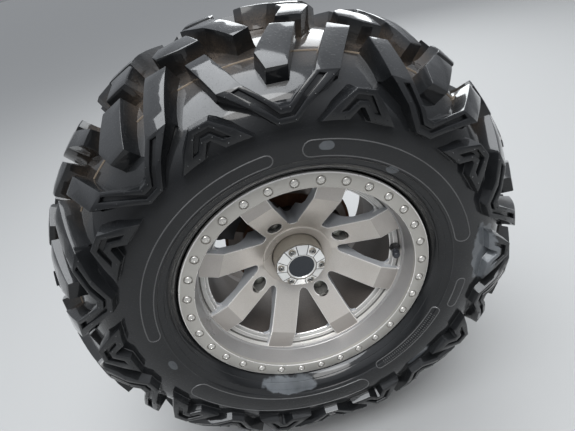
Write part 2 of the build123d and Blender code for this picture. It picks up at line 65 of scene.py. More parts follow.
# %% [markdown]
# ## Camera
# The camera's place and direction were solved from the ring of bolts in the photograph, so the
# picture can be compared with the photograph point by point.

# %% Place the camera
camera_data = bpy.data.cameras.new("camera")
camera_data.lens = 26.96
camera_data.sensor_width = 36.0
camera = bpy.data.objects.new("camera", camera_data)
collection.objects.link(camera)
right = Vector((0.95198, -0.20854, -0.22414))
up = Vector((0.30152, 0.51173, 0.80450))
forward = Vector((0.05307, 0.83345, -0.55004))
turn = Matrix((right, up, -forward)).transposed().to_4x4()
camera.matrix_world = Matrix.Translation((-0.0296, -0.6156, 0.3975)) @ turn
bpy.context.scene.camera = camera
print("camera", camera.matrix_world.translation)

# %% [markdown]
# ## Finishes
# A finish is one function, put together from the small ones below. Noise on the object's own
# coordinates breaks up colour, roughness and height a little, as casting, paint and road film
# do.

# %% Finish tools
def feed(owner, plug, value):
    """Gives an input a plain value, or links it to another node's output."""
    if isinstance(value, bpy.types.NodeSocket):
        owner.node_tree.links.new(value, plug)
    else:
        plug.default_value = (*value, 1.0) if isinstance(value, tuple) else value


def connect(material, **values):
    """Feeds the shader's inputs, which are named with _ for a space."""
    shader = material.node_tree.nodes["Principled BSDF"]
    for key, value in values.items():
        feed(material, shader.inputs[key.replace("_", " ")], value)


def new_material(name, colour, metallic, roughness):
    """A material with its shader's plain values set."""
    material = bpy.data.materials.new(name)
    material.use_nodes = True
    connect(material, Base_Color=colour, Metallic=metallic, Roughness=roughness)
    return material


def add_node(owner, kind, **values):
    """Adds a node to a material or the world and feeds its inputs by name."""
    node = owner.node_tree.nodes.new(kind)
    for key, value in values.items():
        feed(owner, node.inputs[key.replace("_", " ")], value)
    return node


def noise(material, scale, detail=3.0):
    """Noise on the object's coordinates, in features per metre."""
    place = add_node(material, "ShaderNodeTexCoord").outputs["Object"]
    texture = add_node(material, "ShaderNodeTexNoise", Vector=place, Scale=scale, Detail=detail)
    return texture.outputs["Fac"]


def ramp(owner, factor, low, high, start, end):
    """Maps factor from low..high to start..end."""
    return add_node(
        owner, "ShaderNodeMapRange", Value=factor, From_Min=low, From_Max=high, To_Min=start,
        To_Max=end,
    ).outputs["Result"]


def calc(material, operation, first, second=0.0):
    """One arithmetic step between two values or outputs."""
    node = add_node(material, "ShaderNodeMath")
    node.operation = operation
    for plug, value in zip(node.inputs, (first, second)):
        feed(material, plug, value)
    return node.outputs[0]


def blend_colour(material, factor, first, second):
    """Mixes two colours; each is a colour or another node's output."""
    node = add_node(material, "ShaderNodeMix")
    node.data_type = "RGBA"
    for number, value in ((0, factor), (6, first), (7, second)):
        feed(material, node.inputs[number], value)
    return node.outputs[2]


def bumps(material, height, distance, strength=1.0):
    """Height in metres turned into a bumpy normal."""
    bump = add_node(material, "ShaderNodeBump", Height=height, Distance=distance, Strength=strength)
    connect(material, Normal=bump.outputs["Normal"])


def from_spin_axis(material):
    """Outputs for a place's distance from the spin axis, and for its X, Y and Z."""
    place = add_node(material, "ShaderNodeTexCoord").outputs["Object"]
    parts = add_node(material, "ShaderNodeSeparateXYZ", Vector=place).outputs
    squares = [calc(material, "POWER", parts[axis], 2.0) for axis in "XZ"]
    return calc(material, "SQRT", calc(material, "ADD", *squares)), parts


def satin(name, colour, dark, metallic=0.4, roughness=0.36, grain=900.0):
    """Painted or machined light alloy: fine grain, soft blotches and a thin road film."""
    material = new_material(name, colour, metallic, roughness)
    film = ramp(material, noise(material, 14.0, 5.0), 0.35, 0.75, 0.0, 1.0)
    grit = noise(material, grain, 2.0)
    speck = blend_colour(material, ramp(material, grit, 0.3, 0.7, 0.0, 0.35), colour, dark)
    tone = blend_colour(material, calc(material, "MULTIPLY", film, 0.45), speck, dark)
    connect(material, Base_Color=tone)
    connect(material, Roughness=ramp(material, film, 0.0, 1.0, roughness - 0.05, roughness + 0.12))
    bumps(material, grit, 0.00012, 0.5)
    return material


print("finish tools ready")

# %% [markdown]
# ## Floor and light
# The photograph was taken outdoors under a bright overcast sky. A large soft lamp above stands
# for that sky, two weaker ones fill the front and the back, and the floor is a plain pale
# sheet.

# %% Set the floor and the light
floor_mesh = bpy.data.meshes.new("floor")
bm = bmesh.new()
bmesh.ops.create_grid(bm, x_segments=1, y_segments=1, size=300.0)
bmesh.ops.translate(bm, vec=(0.0, 0.0, cad_box[0][2]), verts=bm.verts)
bm.to_mesh(floor_mesh)
bm.free()
floor = bpy.data.objects.new("floor", floor_mesh)
collection.objects.link(floor)
floor_mesh.materials.append(new_material("floor", (0.29, 0.29, 0.287), 0.0, 0.85))

world = bpy.data.worlds.new("world")
world.use_nodes = True
background = world.node_tree.nodes["Background"]
direction = add_node(world, "ShaderNodeTexCoord").outputs["Generated"]
height = add_node(world, "ShaderNodeSeparateXYZ", Vector=direction).outputs["Z"]
feed(world, background.inputs["Strength"], ramp(world, height, 0.05, 0.6, 0.24, 0.95))
feed(world, background.inputs["Color"], (0.90, 0.94, 1.0))
bpy.context.scene.world = world
bpy.context.scene.view_settings.view_transform = "Standard"

# columns: name, place, target, size, power, colour
LIGHTS = [
    ("sky", (-0.15, -0.35, 2.2), (0.0, -0.12, 0.0), 2.2, 84.0, (0.94, 0.97, 1.0)),
    ("front_sky", (0.15, -1.6, 2.2), (0.0, -0.1, 0.0), 1.3, 24.0, (1.0, 0.99, 0.97)),
    ("back_sky", (0.9, 1.9, 1.3), (0.0, -0.1, 0.15), 1.8, 40.0, (0.95, 0.98, 1.0)),
]
for name, place, target, size, power, colour in LIGHTS:
    data = bpy.data.lights.new(name, "AREA")
    data.shape = "DISK"
    data.size = size
    data.energy = power
    data.color = colour
    light = bpy.data.objects.new(name, data)
    light.location = place
    light.rotation_euler = (Vector(target) - Vector(place)).to_track_quat("-Z", "Y").to_euler()
    collection.objects.link(light)
print("lights set")

# %% [markdown]
# ## Drawing space
# Wheels are drawn in millimetres, with depths counted inboard from the face of the wheel's
# outer ring, because every step of the wheel is easiest to read that way. One matrix moves a
# finished mesh into the frame, in metres, so its object can stay at the origin.

# %% Outline tools
ring_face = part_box("outer_ring")[0][1]
into_frame = Matrix.Translation((0.0, ring_face, 0.0)) @ Matrix.Scale(0.001, 4)
TYRE_CENTRE = 111.0


def polar(radius, angle, depth=0.0):
    """A point at a radius and an angle from +X towards +Z."""
    return Vector((radius * cos(radians(angle)), depth, radius * sin(radians(angle))))


def from_axis(point):
    """Distance from the wheel's axis."""
    return hypot(point.x, point.z)


def between(table, value):
    """Straight-line value from a table of pairs."""
    for (start, low), (end, high) in zip(table, table[1:]):
        if value <= end:
            return low + (high - low) * (value - start) / (end - start)
    return table[-1][1]


def turned(bm, points, steps, centre=(0.0, 0.0), closed=True, phase=0.0):
    """Spins an outline of radius and depth points about the wheel's axis, or one parallel to it."""
    middle = Vector((centre[0], 0.0, centre[1]))
    verts = [bm.verts.new(middle + polar(radius, phase, depth)) for radius, depth in points]
    ends = verts[1:] + verts[:1] if closed else verts[1:]
    edges = [bm.edges.new(pair) for pair in zip(verts, ends)]
    bmesh.ops.spin(
        bm, geom=verts + edges, cent=middle, axis=(0, 1, 0), dvec=(0, 0, 0), angle=2 * pi,
        steps=steps, use_merge=True, use_normal_flip=False, use_duplicate=False,
    )
    weld(bm, 0.001)


def add_face(bm, points):
    """One face with corners of its own."""
    return bm.faces.new([bm.verts.new(point) for point in points])


def strips(bm, lines):
    """Quads between each pair of neighbouring lines of points."""
    return [
        add_face(bm, [lower[i], lower[i + 1], upper[i + 1], upper[i]])
        for lower, upper in zip(lines, lines[1:]) for i in range(len(lower) - 1)
    ]


def weld(bm, distance=0.01):
    """Joins corners that lie in one place."""
    bmesh.ops.remove_doubles(bm, verts=bm.verts, dist=distance)


def face_outward(bm):
    """Turns every face of a shell outward."""
    bmesh.ops.recalc_face_normals(bm, faces=bm.faces)


def shift(bm, way):
    """Moves a whole drawing."""
    bmesh.ops.translate(bm, vec=way, verts=bm.verts)


def thicken(bm, faces, depth, keep=False):
    """Pushes a copy of flat faces inboard, with walls between; keep holds the first ones too."""
    back = bmesh.ops.extrude_face_region(bm, geom=faces, use_keep_orig=keep)["geom"]
    bmesh.ops.translate(bm, vec=(0.0, depth, 0.0), verts=verts_of(back))


print("outline tools ready")

# %% [markdown]
# The parts of a piece are drawn on their own. Their faces get the numbers of their finishes,
# and then they are gathered into one mesh.

# %% Tools for parts of a piece
def gather(bm, part):
    """Moves one finished bmesh into another."""
    mesh = bpy.data.meshes.new("part")
    part.to_mesh(mesh)
    part.free()
    bm.from_mesh(mesh)
    bpy.data.meshes.remove(mesh)


def paint(bm, finish, test=None):
    """Gives one of its piece's finishes to all faces, or to those whose middle passes a test."""
    for face in bm.faces:
        if test is None or test(face.calc_center_median()):
            face.material_index = finish


def add_turned(bm, points, steps, finish, place=None, closed=True):
    """Spins an outline about the wheel's axis, or the one through place, into bm."""
    part = bmesh.new()
    turned(part, points, steps, (place.x, place.z) if place else (0.0, 0.0), closed)
    paint(part, finish)
    gather(bm, part)


def verts_of(items):
    """The corners among some parts of a mesh."""
    return [item for item in items if isinstance(item, bmesh.types.BMVert)]


def edges_within(items, verts):
    """The edges among some parts of a mesh that run between given corners."""
    return [item for item in items if isinstance(item, bmesh.types.BMEdge)
            and all(vert in verts for vert in item.verts)]


def open_edges_of(bm):
    """Edges with one face only."""
    return [edge for edge in bm.edges if edge.is_boundary]


def round_edges(bm, edges, width):
    """A small round along edges; returns its faces."""
    return bmesh.ops.bevel(
        bm, geom=edges, offset=width, offset_type="OFFSET", affect="EDGES", segments=2,
        profile=0.5, material=-1, clamp_overlap=True,
    )["faces"]


# %% [markdown]
# A finished mesh becomes a piece that rides on one of the CAD bodies. Every edge of a closed
# shell has two faces, so any other number is printed as an open edge.

# %% Tools for a finished piece
def add_piece(bm, name, body, materials, replaced, sharp):
    """Turns a finished mesh into a piece of the model that rides on a body."""
    mesh = bpy.data.meshes.new(name)
    bm.to_mesh(mesh)
    bm.free()
    mesh.shade_smooth()
    mesh.set_sharp_from_angle(angle=radians(sharp))
    for material in materials:
        mesh.materials.append(material)
    piece = bpy.data.objects.new(name, mesh)
    collection.objects.link(piece)
    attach(piece, body)
    if replaced:
        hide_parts(*replaced)
    uses = {}
    for polygon in mesh.polygons:
        for key in polygon.edge_keys:
            uses[key] = uses.get(key, 0) + 1
    open_edges = sum(1 for count in uses.values() if count != 2)
    mesh.calc_loop_triangles()
    print(name, len(mesh.loop_triangles), "triangles,", open_edges, "open edges")


def finish_piece(bm, name, materials, replaced=(), sharp=32.0, outward=True):
    """Moves a drawing in millimetres into the frame and makes it a piece of the wheel."""
    if outward:
        face_outward(bm)
    bmesh.ops.transform(bm, matrix=into_frame, verts=bm.verts)
    add_piece(bm, name, "wheel", materials, replaced, sharp)


print("drawing tools ready")

# %% [markdown]
# ## Barrel of the wheel
# The barrel is cast and then turned, so it is one outline spun about the axis: seat for the
# outer ring, conical lip, a raised bead where the spokes end, a ledge with two fine grooves,
# and the deep well that lets a tyre be fitted.

# %% Spin the barrel
RING_STEPS = 192
BARREL_OUTLINE = [
    (149.2, 5.0), (148.6, 8.0), (146.4, 25.4), (146.2, 27.4), (145.6, 28.5), (144.7, 28.8),
    (143.9, 29.3), (143.5, 30.4), (143.2, 37.4), (142.9, 40.0), (142.4, 40.4), (141.7, 40.4),
    (141.3, 39.0), (140.8, 38.3), (135.6, 38.3), (135.0, 38.7), (134.7, 39.4), (134.4, 42.4),
    (133.9, 42.9), (132.2, 43.0), (131.4, 43.4), (130.8, 44.4), (130.8, 150.6), (148.2, 190.6),
    (148.2, 216.0), (149.2, 217.0), (166.5, 217.0), (167.5, 216.0), (167.5, 212.6), (153.4, 212.6),
    (152.4, 211.6), (152.4, 190.6), (135.0, 150.6), (135.0, 51.4), (152.4, 31.4), (152.4, 9.4),
    (167.5, 9.4), (167.5, 5.0),
]
EDGE, WALL, BARREL, PAINTED_SHADE, TIP, COLLAR, LEDGE, LIP = range(1, 9)
# columns: finish, smallest and largest radius, least and greatest depth; a later row wins
# Rows with the edge finish paint thin bright lines on the bead and the ledge, as painted highlights.
BARREL_BANDS = [
    (LIP, 0.0, 149.5, 0.0, 30.0), (LEDGE, 0.0, 143.7, 30.0, 44.0), (BARREL, 0.0, 149.0, 44.0, 220.0),
    # The row with the wells' finish paints a dark line in a groove of the ledge, as painted shade.
    (PAINTED_SHADE, 141.2, 143.1, 38.5, 41.0), (EDGE, 143.0, 143.8, 30.0, 38.0),
    (EDGE, 140.6, 141.2, 38.0, 39.2), (EDGE, 134.6, 135.8, 38.2, 39.3),
    (EDGE, 131.0, 132.4, 42.9, 44.0),
]
wheel = bmesh.new()
turned(wheel, BARREL_OUTLINE, RING_STEPS)
for finish, inner, outer, near, far in BARREL_BANDS:
    paint(wheel, finish, lambda centre: inner < from_axis(centre) < outer and near < centre.y < far)
print("barrel", len(wheel.faces), "faces")

# %% [markdown]
# ## Spokes
# Eight flat-faced spokes fall from the lip to the hub and kink once near the lip. The front
# is drawn flat, as one half of a spoke and its mirror copies, so that the windows and wheel
# nut wells are simply left out of it. It then gets walls and bevelled edges, and only then is
# every point given its depth.

# %% Spoke tools
SPOKES = 8
SPOKE_PHASE = 17.35
HALF_PITCH = 180.0 / SPOKES
BORE_RADIUS, BORE_DEPTH = 37.1, 75.4
FLARE_RADIUS, FLARE_DEPTH = 50.1, 71.5
KINK_REACH, KINK_DEPTH = 115.2, 32.9
SPOKE_END, SPOKE_END_DEPTH = 146.5, 31.0
SPOKE_HALF_WIDTH, SPOKE_FLARE = 18.8, 0.7
APEX_ROUND = 7.0
APEX_PLACE = (SPOKE_HALF_WIDTH + APEX_ROUND) / sin(radians(HALF_PITCH))
WELL_PLACE, WELL_RADIUS = 68.5, 10.3
# columns: distance along the spoke, depth
SPOKE_FRONT = [
    (0.0, BORE_DEPTH), (BORE_RADIUS, BORE_DEPTH), (FLARE_RADIUS, FLARE_DEPTH),
    (KINK_REACH, KINK_DEPTH), (SPOKE_END, SPOKE_END_DEPTH),
]
SPOKE_BACK = [(0.0, 102.0), (70.0, 102.0), (76.0, 92.0), (82.0, 78.0), (89.0, 67.0), (98.0, 58.0),
              (119.4, 47.5), (150.0, 44.5)]
FLAT_DEPTH, FACET_BLEND, SPOKE_ROUND, WELL_MARGIN = 30.0, 10.0, 1.1, 1.5


def spoke_angle(number):
    """The middle of a spoke, counted against the clock."""
    return SPOKE_PHASE + number * 2 * HALF_PITCH


def half_spoke(bm, angle, side, with_well):
    """Half of a spoke's front, drawn flat at its place around the wheel."""
    steps = 6

    def place(reach, across):
        return polar(reach, angle) + polar(across * side, angle + 90.0)

    def arc(centre, radius, start, end, count):
        sweep = [radians(start + (end - start) * i / count) for i in range(count + 1)]
        return [place(centre[0] + radius * cos(a), centre[1] + radius * sin(a)) for a in sweep]

    bore = arc((0.0, 0.0), BORE_RADIUS, 0.0, HALF_PITCH, steps)
    flare = arc((0.0, 0.0), FLARE_RADIUS, 0.0, HALF_PITCH, steps)
    strips(bm, [bore, flare])
    apex_centre = (APEX_PLACE * cos(radians(HALF_PITCH)), APEX_PLACE * sin(radians(HALF_PITCH)))
    apex = arc(apex_centre, APEX_ROUND, 180.0 + HALF_PITCH, 270.0, steps)

    def edge(reach):
        share = (reach - apex_centre[0]) / (SPOKE_END - apex_centre[0])
        return place(reach, SPOKE_HALF_WIDTH + SPOKE_FLARE * share)

    reaches = [reach for reach, depth in SPOKE_BACK[2:6]] + [KINK_REACH, SPOKE_BACK[6][0], SPOKE_END]
    well = arc((WELL_PLACE, 0.0), WELL_RADIUS, 180.0, 0.0, 10) if with_well else []
    outline = well + [place(reaches[0], 0.0), edge(reaches[0])] + apex[::-1] + flare[::-1]
    add_face(bm, outline)
    strips(bm, [[place(reach, 0.0) for reach in reaches], [edge(reach) for reach in reaches]])


def spoke_reach(point):
    """Distance from the axis along the middle line of the nearest spoke."""
    angle = (degrees(atan2(point.z, point.x)) - SPOKE_PHASE + HALF_PITCH) % (2 * HALF_PITCH)
    return from_axis(point) * cos(radians(angle - HALF_PITCH))


def near_well(point):
    """Whether a place lies in one of the wheel nuts' wells."""
    wells = [polar(WELL_PLACE, spoke_angle(number)) for number in range(0, SPOKES, 2)]
    return any(from_axis(point - well) < WELL_RADIUS + WELL_MARGIN for well in wells)


def spoke_depth(point):
    """Depth of the spokes' front face, and of their back, at a place in the side view."""
    radius = from_axis(point)
    facet = min(1.0, max(0.0, (radius - FLARE_RADIUS) / FACET_BLEND))
    reach = radius + (spoke_reach(point) - radius) * facet
    return between(SPOKE_FRONT, reach), between(SPOKE_BACK, reach)


def front_corners(bm):
    """Edges between the flat front and its walls."""
    bm.normal_update()
    found = []
    for edge in bm.edges:
        if len(edge.link_faces) == 2 and all(abs(v.co.y) < 0.01 for v in edge.verts):
            tilts = sorted(abs(face.normal.y) for face in edge.link_faces)
            if tilts[0] < 0.6 and tilts[1] > 0.75:
                found.append(edge)
    return found


print("spoke tools ready")

# %% [markdown]
# The drawn halves are welded into one sheet and thickened. Faces are painted while they are
# still flat, since what is wall, front or well is easy to tell then, and the depths come last.

# %% Build the spokes
spokes = bmesh.new()
for number in range(SPOKES):
    for side in (-1, 1):
        half_spoke(spokes, spoke_angle(number), side, number % 2 == 0)
weld(spokes)
face_outward(spokes)
thicken(spokes, spokes.faces[:], FLAT_DEPTH)
face_outward(spokes)
spokes.normal_update()
# Walls take a cooler, darker grey than the front: painted shade with a painted bluish reflection of the
# sky.
for face in spokes.faces:
    centre = face.calc_center_median()
    if abs(face.normal.y) < 0.5:
        # Walls round the nut wells take a dark grey, as painted shade.
        face.material_index = PAINTED_SHADE if near_well(centre) else WALL
    elif spoke_reach(centre) > KINK_REACH:
        face.material_index = TIP
# The rounded front edges take the bright edge finish, partly machined metal and partly painted
# highlight.
for face in round_edges(spokes, front_corners(spokes), SPOKE_ROUND):
    face.material_index = EDGE
for vert in spokes.verts:
    front_depth, back_depth = spoke_depth(vert.co)
    vert.co.y = back_depth if vert.co.y > FLAT_DEPTH / 2 else front_depth + vert.co.y
gather(wheel, spokes)
print("spokes added,", len(wheel.faces), "faces")

# %% [markdown]
# A raised collar rings the bore, where the tool that faced it stopped, and a small fillet fills
# each outer corner of the windows, as casting needs. Both are closed shells of their own.

# %% Add the collar and the fillets
COLLAR_OUTLINE = [
    (37.1, 78.0), (37.1, 75.2), (37.7, 74.2), (39.0, 73.5), (42.0, 72.6), (46.0, 71.3), (49.0, 70.3),
    (50.2, 70.5), (50.8, 71.2), (51.0, 78.0),
]
WINDOW_RADIUS, CORNER_ROUND, CORNER_FRONT, CORNER_BACK, OVERLAP = 130.9, 6.5, 41.6, 46.5, 1.5
add_turned(wheel, COLLAR_OUTLINE, 96, COLLAR)


def corner_fillet(angle, side):
    """Fills one outer corner of a window with a concave wedge."""
    edge = SPOKE_HALF_WIDTH + SPOKE_FLARE * 0.8
    across = edge + CORNER_ROUND
    inner = WINDOW_RADIUS - CORNER_ROUND
    reach = (inner ** 2 - across ** 2) ** 0.5
    lean = degrees(atan2(across, reach))
    sweep = [-90.0 + (lean + 90.0) * i / 6 for i in range(7)]
    points = [(reach + CORNER_ROUND * cos(radians(a)), across + CORNER_ROUND * sin(radians(a)))
              for a in sweep]
    outer = WINDOW_RADIUS + OVERLAP
    points.append((outer * cos(radians(lean)), outer * sin(radians(lean))))
    points.append(((outer ** 2 - edge ** 2) ** 0.5, edge - OVERLAP))
    points.append((reach, edge - OVERLAP))
    wedge = bmesh.new()
    corners = [polar(r, angle, CORNER_FRONT) + polar(a * side, angle + 90.0) for r, a in points]
    thicken(wedge, [add_face(wedge, corners)], CORNER_BACK - CORNER_FRONT, keep=True)
    wedge.normal_update()
    # The fillet's front faces take the bright edge finish as a painted highlight, and its sides the
    # walls' painted shade.
    for face in wedge.faces:
        face.material_index = EDGE if abs(face.normal.y) > 0.5 else WALL
    return wedge


for number in range(SPOKES):
    for side in (-1, 1):
        gather(wheel, corner_fillet(spoke_angle(number), side))
print("collar and fillets added,", len(wheel.faces), "faces")

# %% [markdown]
# Each wheel nut clamps on a boss at the bottom of its well, which is a short turned tube. The
# wheel then gets its finishes: the faces are painted; the edges and thin lines on the ledge are
# a bright alloy, partly machined and partly painted highlight; the walls are a cooler, darker
# grey and the wells and one groove of the ledge a dark grey, both as painted shade; and the
# inside of the barrel is a dark brown.

# %% Add the nut seats and finish the wheel
SEAT_OUTLINE = [
    (6.5, 90.0), (10.2, 90.0), (10.2, 79.0), (13.0, 80.0), (13.6, 81.0), (14.0, 102.0), (6.5, 102.0),
]
# The seats at the bottom of the wells take the wells' dark grey, as painted shade.
for number in range(0, SPOKES, 2):
    add_turned(wheel, SEAT_OUTLINE, 24, PAINTED_SHADE, polar(WELL_PLACE, spoke_angle(number)))

# columns: name, colour, dark colour, metallic, roughness; in the order of the numbers above
WHEEL_FINISHES = [
    ("wheel_alloy_face", (0.70, 0.665, 0.62), (0.47, 0.425, 0.38), 0.65, 0.34),
    ("wheel_alloy_edge_and_painted_highlight", (0.93, 0.91, 0.88), (0.75, 0.72, 0.68), 0.6, 0.28),
    ("wheel_alloy_wall_painted_shade", (0.56, 0.575, 0.60), (0.36, 0.365, 0.37), 0.25, 0.4),
    ("barrel_inside", (0.115, 0.10, 0.09), (0.045, 0.036, 0.03), 0.3, 0.55, 500.0),
    ("nut_well_painted_shade", (0.26, 0.255, 0.24), (0.11, 0.105, 0.10), 0.35, 0.4),
    ("wheel_alloy_tip", (0.50, 0.47, 0.44), (0.37, 0.335, 0.305), 0.65, 0.34),
    ("wheel_alloy_collar", (0.56, 0.52, 0.475), (0.42, 0.38, 0.335), 0.4, 0.32),
    ("wheel_alloy_ledge", (0.54, 0.53, 0.51), (0.42, 0.41, 0.39), 0.4, 0.34),
    ("wheel_alloy_lip", (0.37, 0.36, 0.355), (0.26, 0.25, 0.24), 0.4, 0.32),
]
wheel_finishes = [satin(*row) for row in WHEEL_FINISHES]
finish_piece(wheel, "alloy_wheel", wheel_finishes, ("rim",), sharp=12.0)

# %% [markdown]
# ## Outer ring and its screws
# The bolted ring is a flat machined band. Its face is drawn as sixty-four half pitches with a
# round hole between each two, the holes are sunk into pockets, and a spun outline closes the
# ring behind.

# %% Build the outer ring
SCREWS, SCREW_PHASE, SCREW_CIRCLE = 32, 6.1, 158.7
POCKET_RADIUS, POCKET_DEPTH = 6.3, 1.7
RING_INNER_EDGE, RING_OUTER_EDGE = 149.9, 167.5
HALF_SCREW_PITCH = 180.0 / SCREWS


def half_ring_pitch(bm, angle, side):
    """Half of one screw's share of the ring's face."""
    middle = polar(SCREW_CIRCLE, angle)
    hole = [middle + polar(POCKET_RADIUS, angle + side * (180.0 - 22.5 * i)) for i in range(9)]
    turns = [angle + side * HALF_SCREW_PITCH * i / 2 for i in range(3)]
    outer = [polar(RING_OUTER_EDGE, turn) for turn in turns]
    inner = [polar(RING_INNER_EDGE, turn) for turn in turns]
    add_face(bm, hole + outer + inner[::-1])


ring = bmesh.new()
for number in range(SCREWS):
    for side in (-1, 1):
        half_ring_pitch(ring, SCREW_PHASE + number * 2 * HALF_SCREW_PITCH, side)
weld(ring)
pocket_edges = [
    edge for edge in open_edges_of(ring)
    if RING_INNER_EDGE + 0.5 < from_axis(edge.verts[0].co) < RING_OUTER_EDGE - 0.5
]
sunk = bmesh.ops.extrude_edge_only(ring, edges=pocket_edges)["geom"]
bmesh.ops.translate(ring, vec=(0.0, POCKET_DEPTH, 0.0), verts=verts_of(sunk))
bmesh.ops.holes_fill(ring, edges=edges_within(sunk, verts_of(sunk)), sides=0)
back_of_ring = [
    (RING_OUTER_EDGE, 0.0), (168.9, 0.6), (169.4, 2.0), (169.4, 5.0), (149.2, 5.0), (149.2, 0.7),
    (RING_INNER_EDGE, 0.0),
]
turned(ring, back_of_ring, SCREWS * 4, closed=False, phase=SCREW_PHASE)
weld(ring, 0.02)
paint(ring, EDGE, lambda centre: from_axis(centre) > RING_OUTER_EDGE and centre.y < 2.0)
paint(ring, EDGE, lambda centre: from_axis(centre) < RING_INNER_EDGE and centre.y < 0.6)
ring_alloy = satin("ring_alloy", (0.47, 0.455, 0.42), (0.36, 0.34, 0.31), 0.45, 0.42, 1400.0)
ring_finishes = [ring_alloy, wheel_finishes[EDGE]]
finish_piece(ring, "drilled_ring", ring_finishes, ("outer_ring",))

# %% [markdown]
# Each pocket holds a domed screw head with a small dimple in its middle. One outline is spun
# about each screw's own axis, so every head is round and stays alike.

# %% Fit the ring's screws
SCREW_OUTLINE = [
    (0.0, -0.9), (1.7, -0.95), (1.9, -1.25), (3.3, -1.15), (4.4, -0.6), (5.1, 0.4), (5.2, 1.75),
    (0.0, 1.75),
]
screws = bmesh.new()
for number in range(SCREWS):
    place = polar(SCREW_CIRCLE, SCREW_PHASE + number * 2 * HALF_SCREW_PITCH)
    add_turned(screws, SCREW_OUTLINE, 18, 0, place, closed=False)
zinc = satin("zinc_screws", (0.72, 0.70, 0.66), (0.42, 0.40, 0.37), 0.75, 0.24, 2000.0)
finish_piece(screws, "ring_screws", [zinc], ("ring_bolts",))

# %% [markdown]
# ## Centre cap
# The cap is a plated plastic cup with a bevelled front of twelve flat facets, parted by grooves
# painted near black as shade. The front is spun in twelve steps, so its facets are true flats,
# and each facet is drawn in and raised from the groove round it. The cup behind and the six
# screw seats are closed shells of their own; the seats' hollows are painted near black as shade.

# %% Build the centre cap
CAP_RADIUS, CAP_EDGE, CAP_FACE_RADIUS, CAP_FRONT, CAP_END = 36.2, 49.0, 21.6, 44.2, 92.0
FACETS, FACET_AREA, GROOVE_WIDTH, FACET_RISE = 12, 60.0, 0.55, 0.5
CAP_SCREWS, CAP_SCREW_PHASE, CAP_SCREW_CIRCLE = 6, 45.0, 28.6
PLATED, SATIN, GAP = range(3)
FRONT_OUTLINE = [
    (CAP_RADIUS, CAP_EDGE), (CAP_FACE_RADIUS, CAP_FRONT), (CAP_FACE_RADIUS - 0.6, CAP_FRONT + 0.4),
    (CAP_FACE_RADIUS - 0.6, CAP_FRONT + 3.0), (CAP_RADIUS - 1.0, CAP_EDGE + 3.0),
]
CUP_OUTLINE = [
    (0.0, 47.6), (20.4, 47.6), (20.8, 47.0), (CAP_RADIUS - 1.0, CAP_EDGE + 1.0),
    (CAP_RADIUS, CAP_EDGE + 0.6), (CAP_RADIUS, CAP_END), (33.7, CAP_END), (33.7, 51.6), (0.0, 51.6),
]
SCREW_SEAT_OUTLINE = [
    (0.0, 46.2), (4.0, 46.2), (4.1, 45.0), (4.5, 44.6), (5.1, 44.8), (5.4, 45.4), (5.4, 50.0),
    (0.0, 50.0),
]
cap = bmesh.new()
turned(cap, FRONT_OUTLINE, FACETS, phase=CAP_SCREW_PHASE + 180.0 / FACETS)
face_outward(cap)
facing = [face for face in cap.faces if face.normal.y < -0.5]
facet_faces = [
    face for face in facing
    if face.calc_area() > FACET_AREA and face.calc_center_median().y < CAP_EDGE
]
paint(cap, SATIN)
# The grooves round the facets keep a near black finish, as painted shade.
for face in facet_faces:
    face.material_index = GAP
bmesh.ops.inset_individual(
    cap, faces=facet_faces, thickness=GROOVE_WIDTH, depth=FACET_RISE, use_even_offset=True,
    use_interpolate=True, use_relative_offset=False,
)
for face in facet_faces:
    face.material_index = PLATED
add_turned(cap, CUP_OUTLINE, 72, SATIN, closed=False)
cap_screw_places = [
    polar(CAP_SCREW_CIRCLE, CAP_SCREW_PHASE + number * 360.0 / CAP_SCREWS)
    for number in range(CAP_SCREWS)
]


def add_hollowed(bm, points, steps, place, outside, hollow, radius, depth):
    """A small turned shell; inside a radius and a depth it has the hollow's finish."""
    part = bmesh.new()
    turned(part, points, steps, (place.x, place.z), closed=False)
    paint(part, outside)
    paint(part, hollow, lambda centre: from_axis(centre - place) < radius and centre.y < depth)
    gather(bm, part)


# The hollows of the screw seats are painted near black, as shade.
for place in cap_screw_places:
    add_hollowed(cap, SCREW_SEAT_OUTLINE, 24, place, SATIN, GAP, radius=4.1, depth=47.0)
cap_chrome = satin("cap_facets", (0.95, 0.95, 0.93), (0.78, 0.78, 0.76), 0.5, 0.2)
cap_satin = satin("cap_satin", (0.40, 0.37, 0.32), (0.25, 0.22, 0.18), 0.5, 0.36)
gap_painted_shade = new_material("gap_painted_shade", (0.03, 0.028, 0.026), 0.0, 0.6)
finish_piece(cap, "faceted_cap", [cap_chrome, cap_satin, gap_painted_shade],
             ("centre_cap",), sharp=6.0)

# %% [markdown]
# Six socket screws hold the cap. The badge in its middle is a slightly domed black disc inside
# a silver rim, and carries nothing.

# %% Fit the cap's screws and the badge
SOCKET_OUTLINE = [
    (0.0, 46.0), (1.5, 46.0), (1.7, 44.6), (2.2, 44.2), (3.0, 44.5), (3.5, 45.2), (3.5, 46.6),
    (0.0, 46.6),
]
cap_screws = bmesh.new()
# The sockets' insides are painted near black, as shade.
for place in cap_screw_places:
    add_hollowed(cap_screws, SOCKET_OUTLINE, 18, place, 0, 1, radius=1.65, depth=46.3)
screw_steel = satin("cap_screw_steel", (0.34, 0.34, 0.33), (0.14, 0.14, 0.135), 0.75, 0.26)
finish_piece(cap_screws, "cap_screws", [screw_steel, gap_painted_shade])

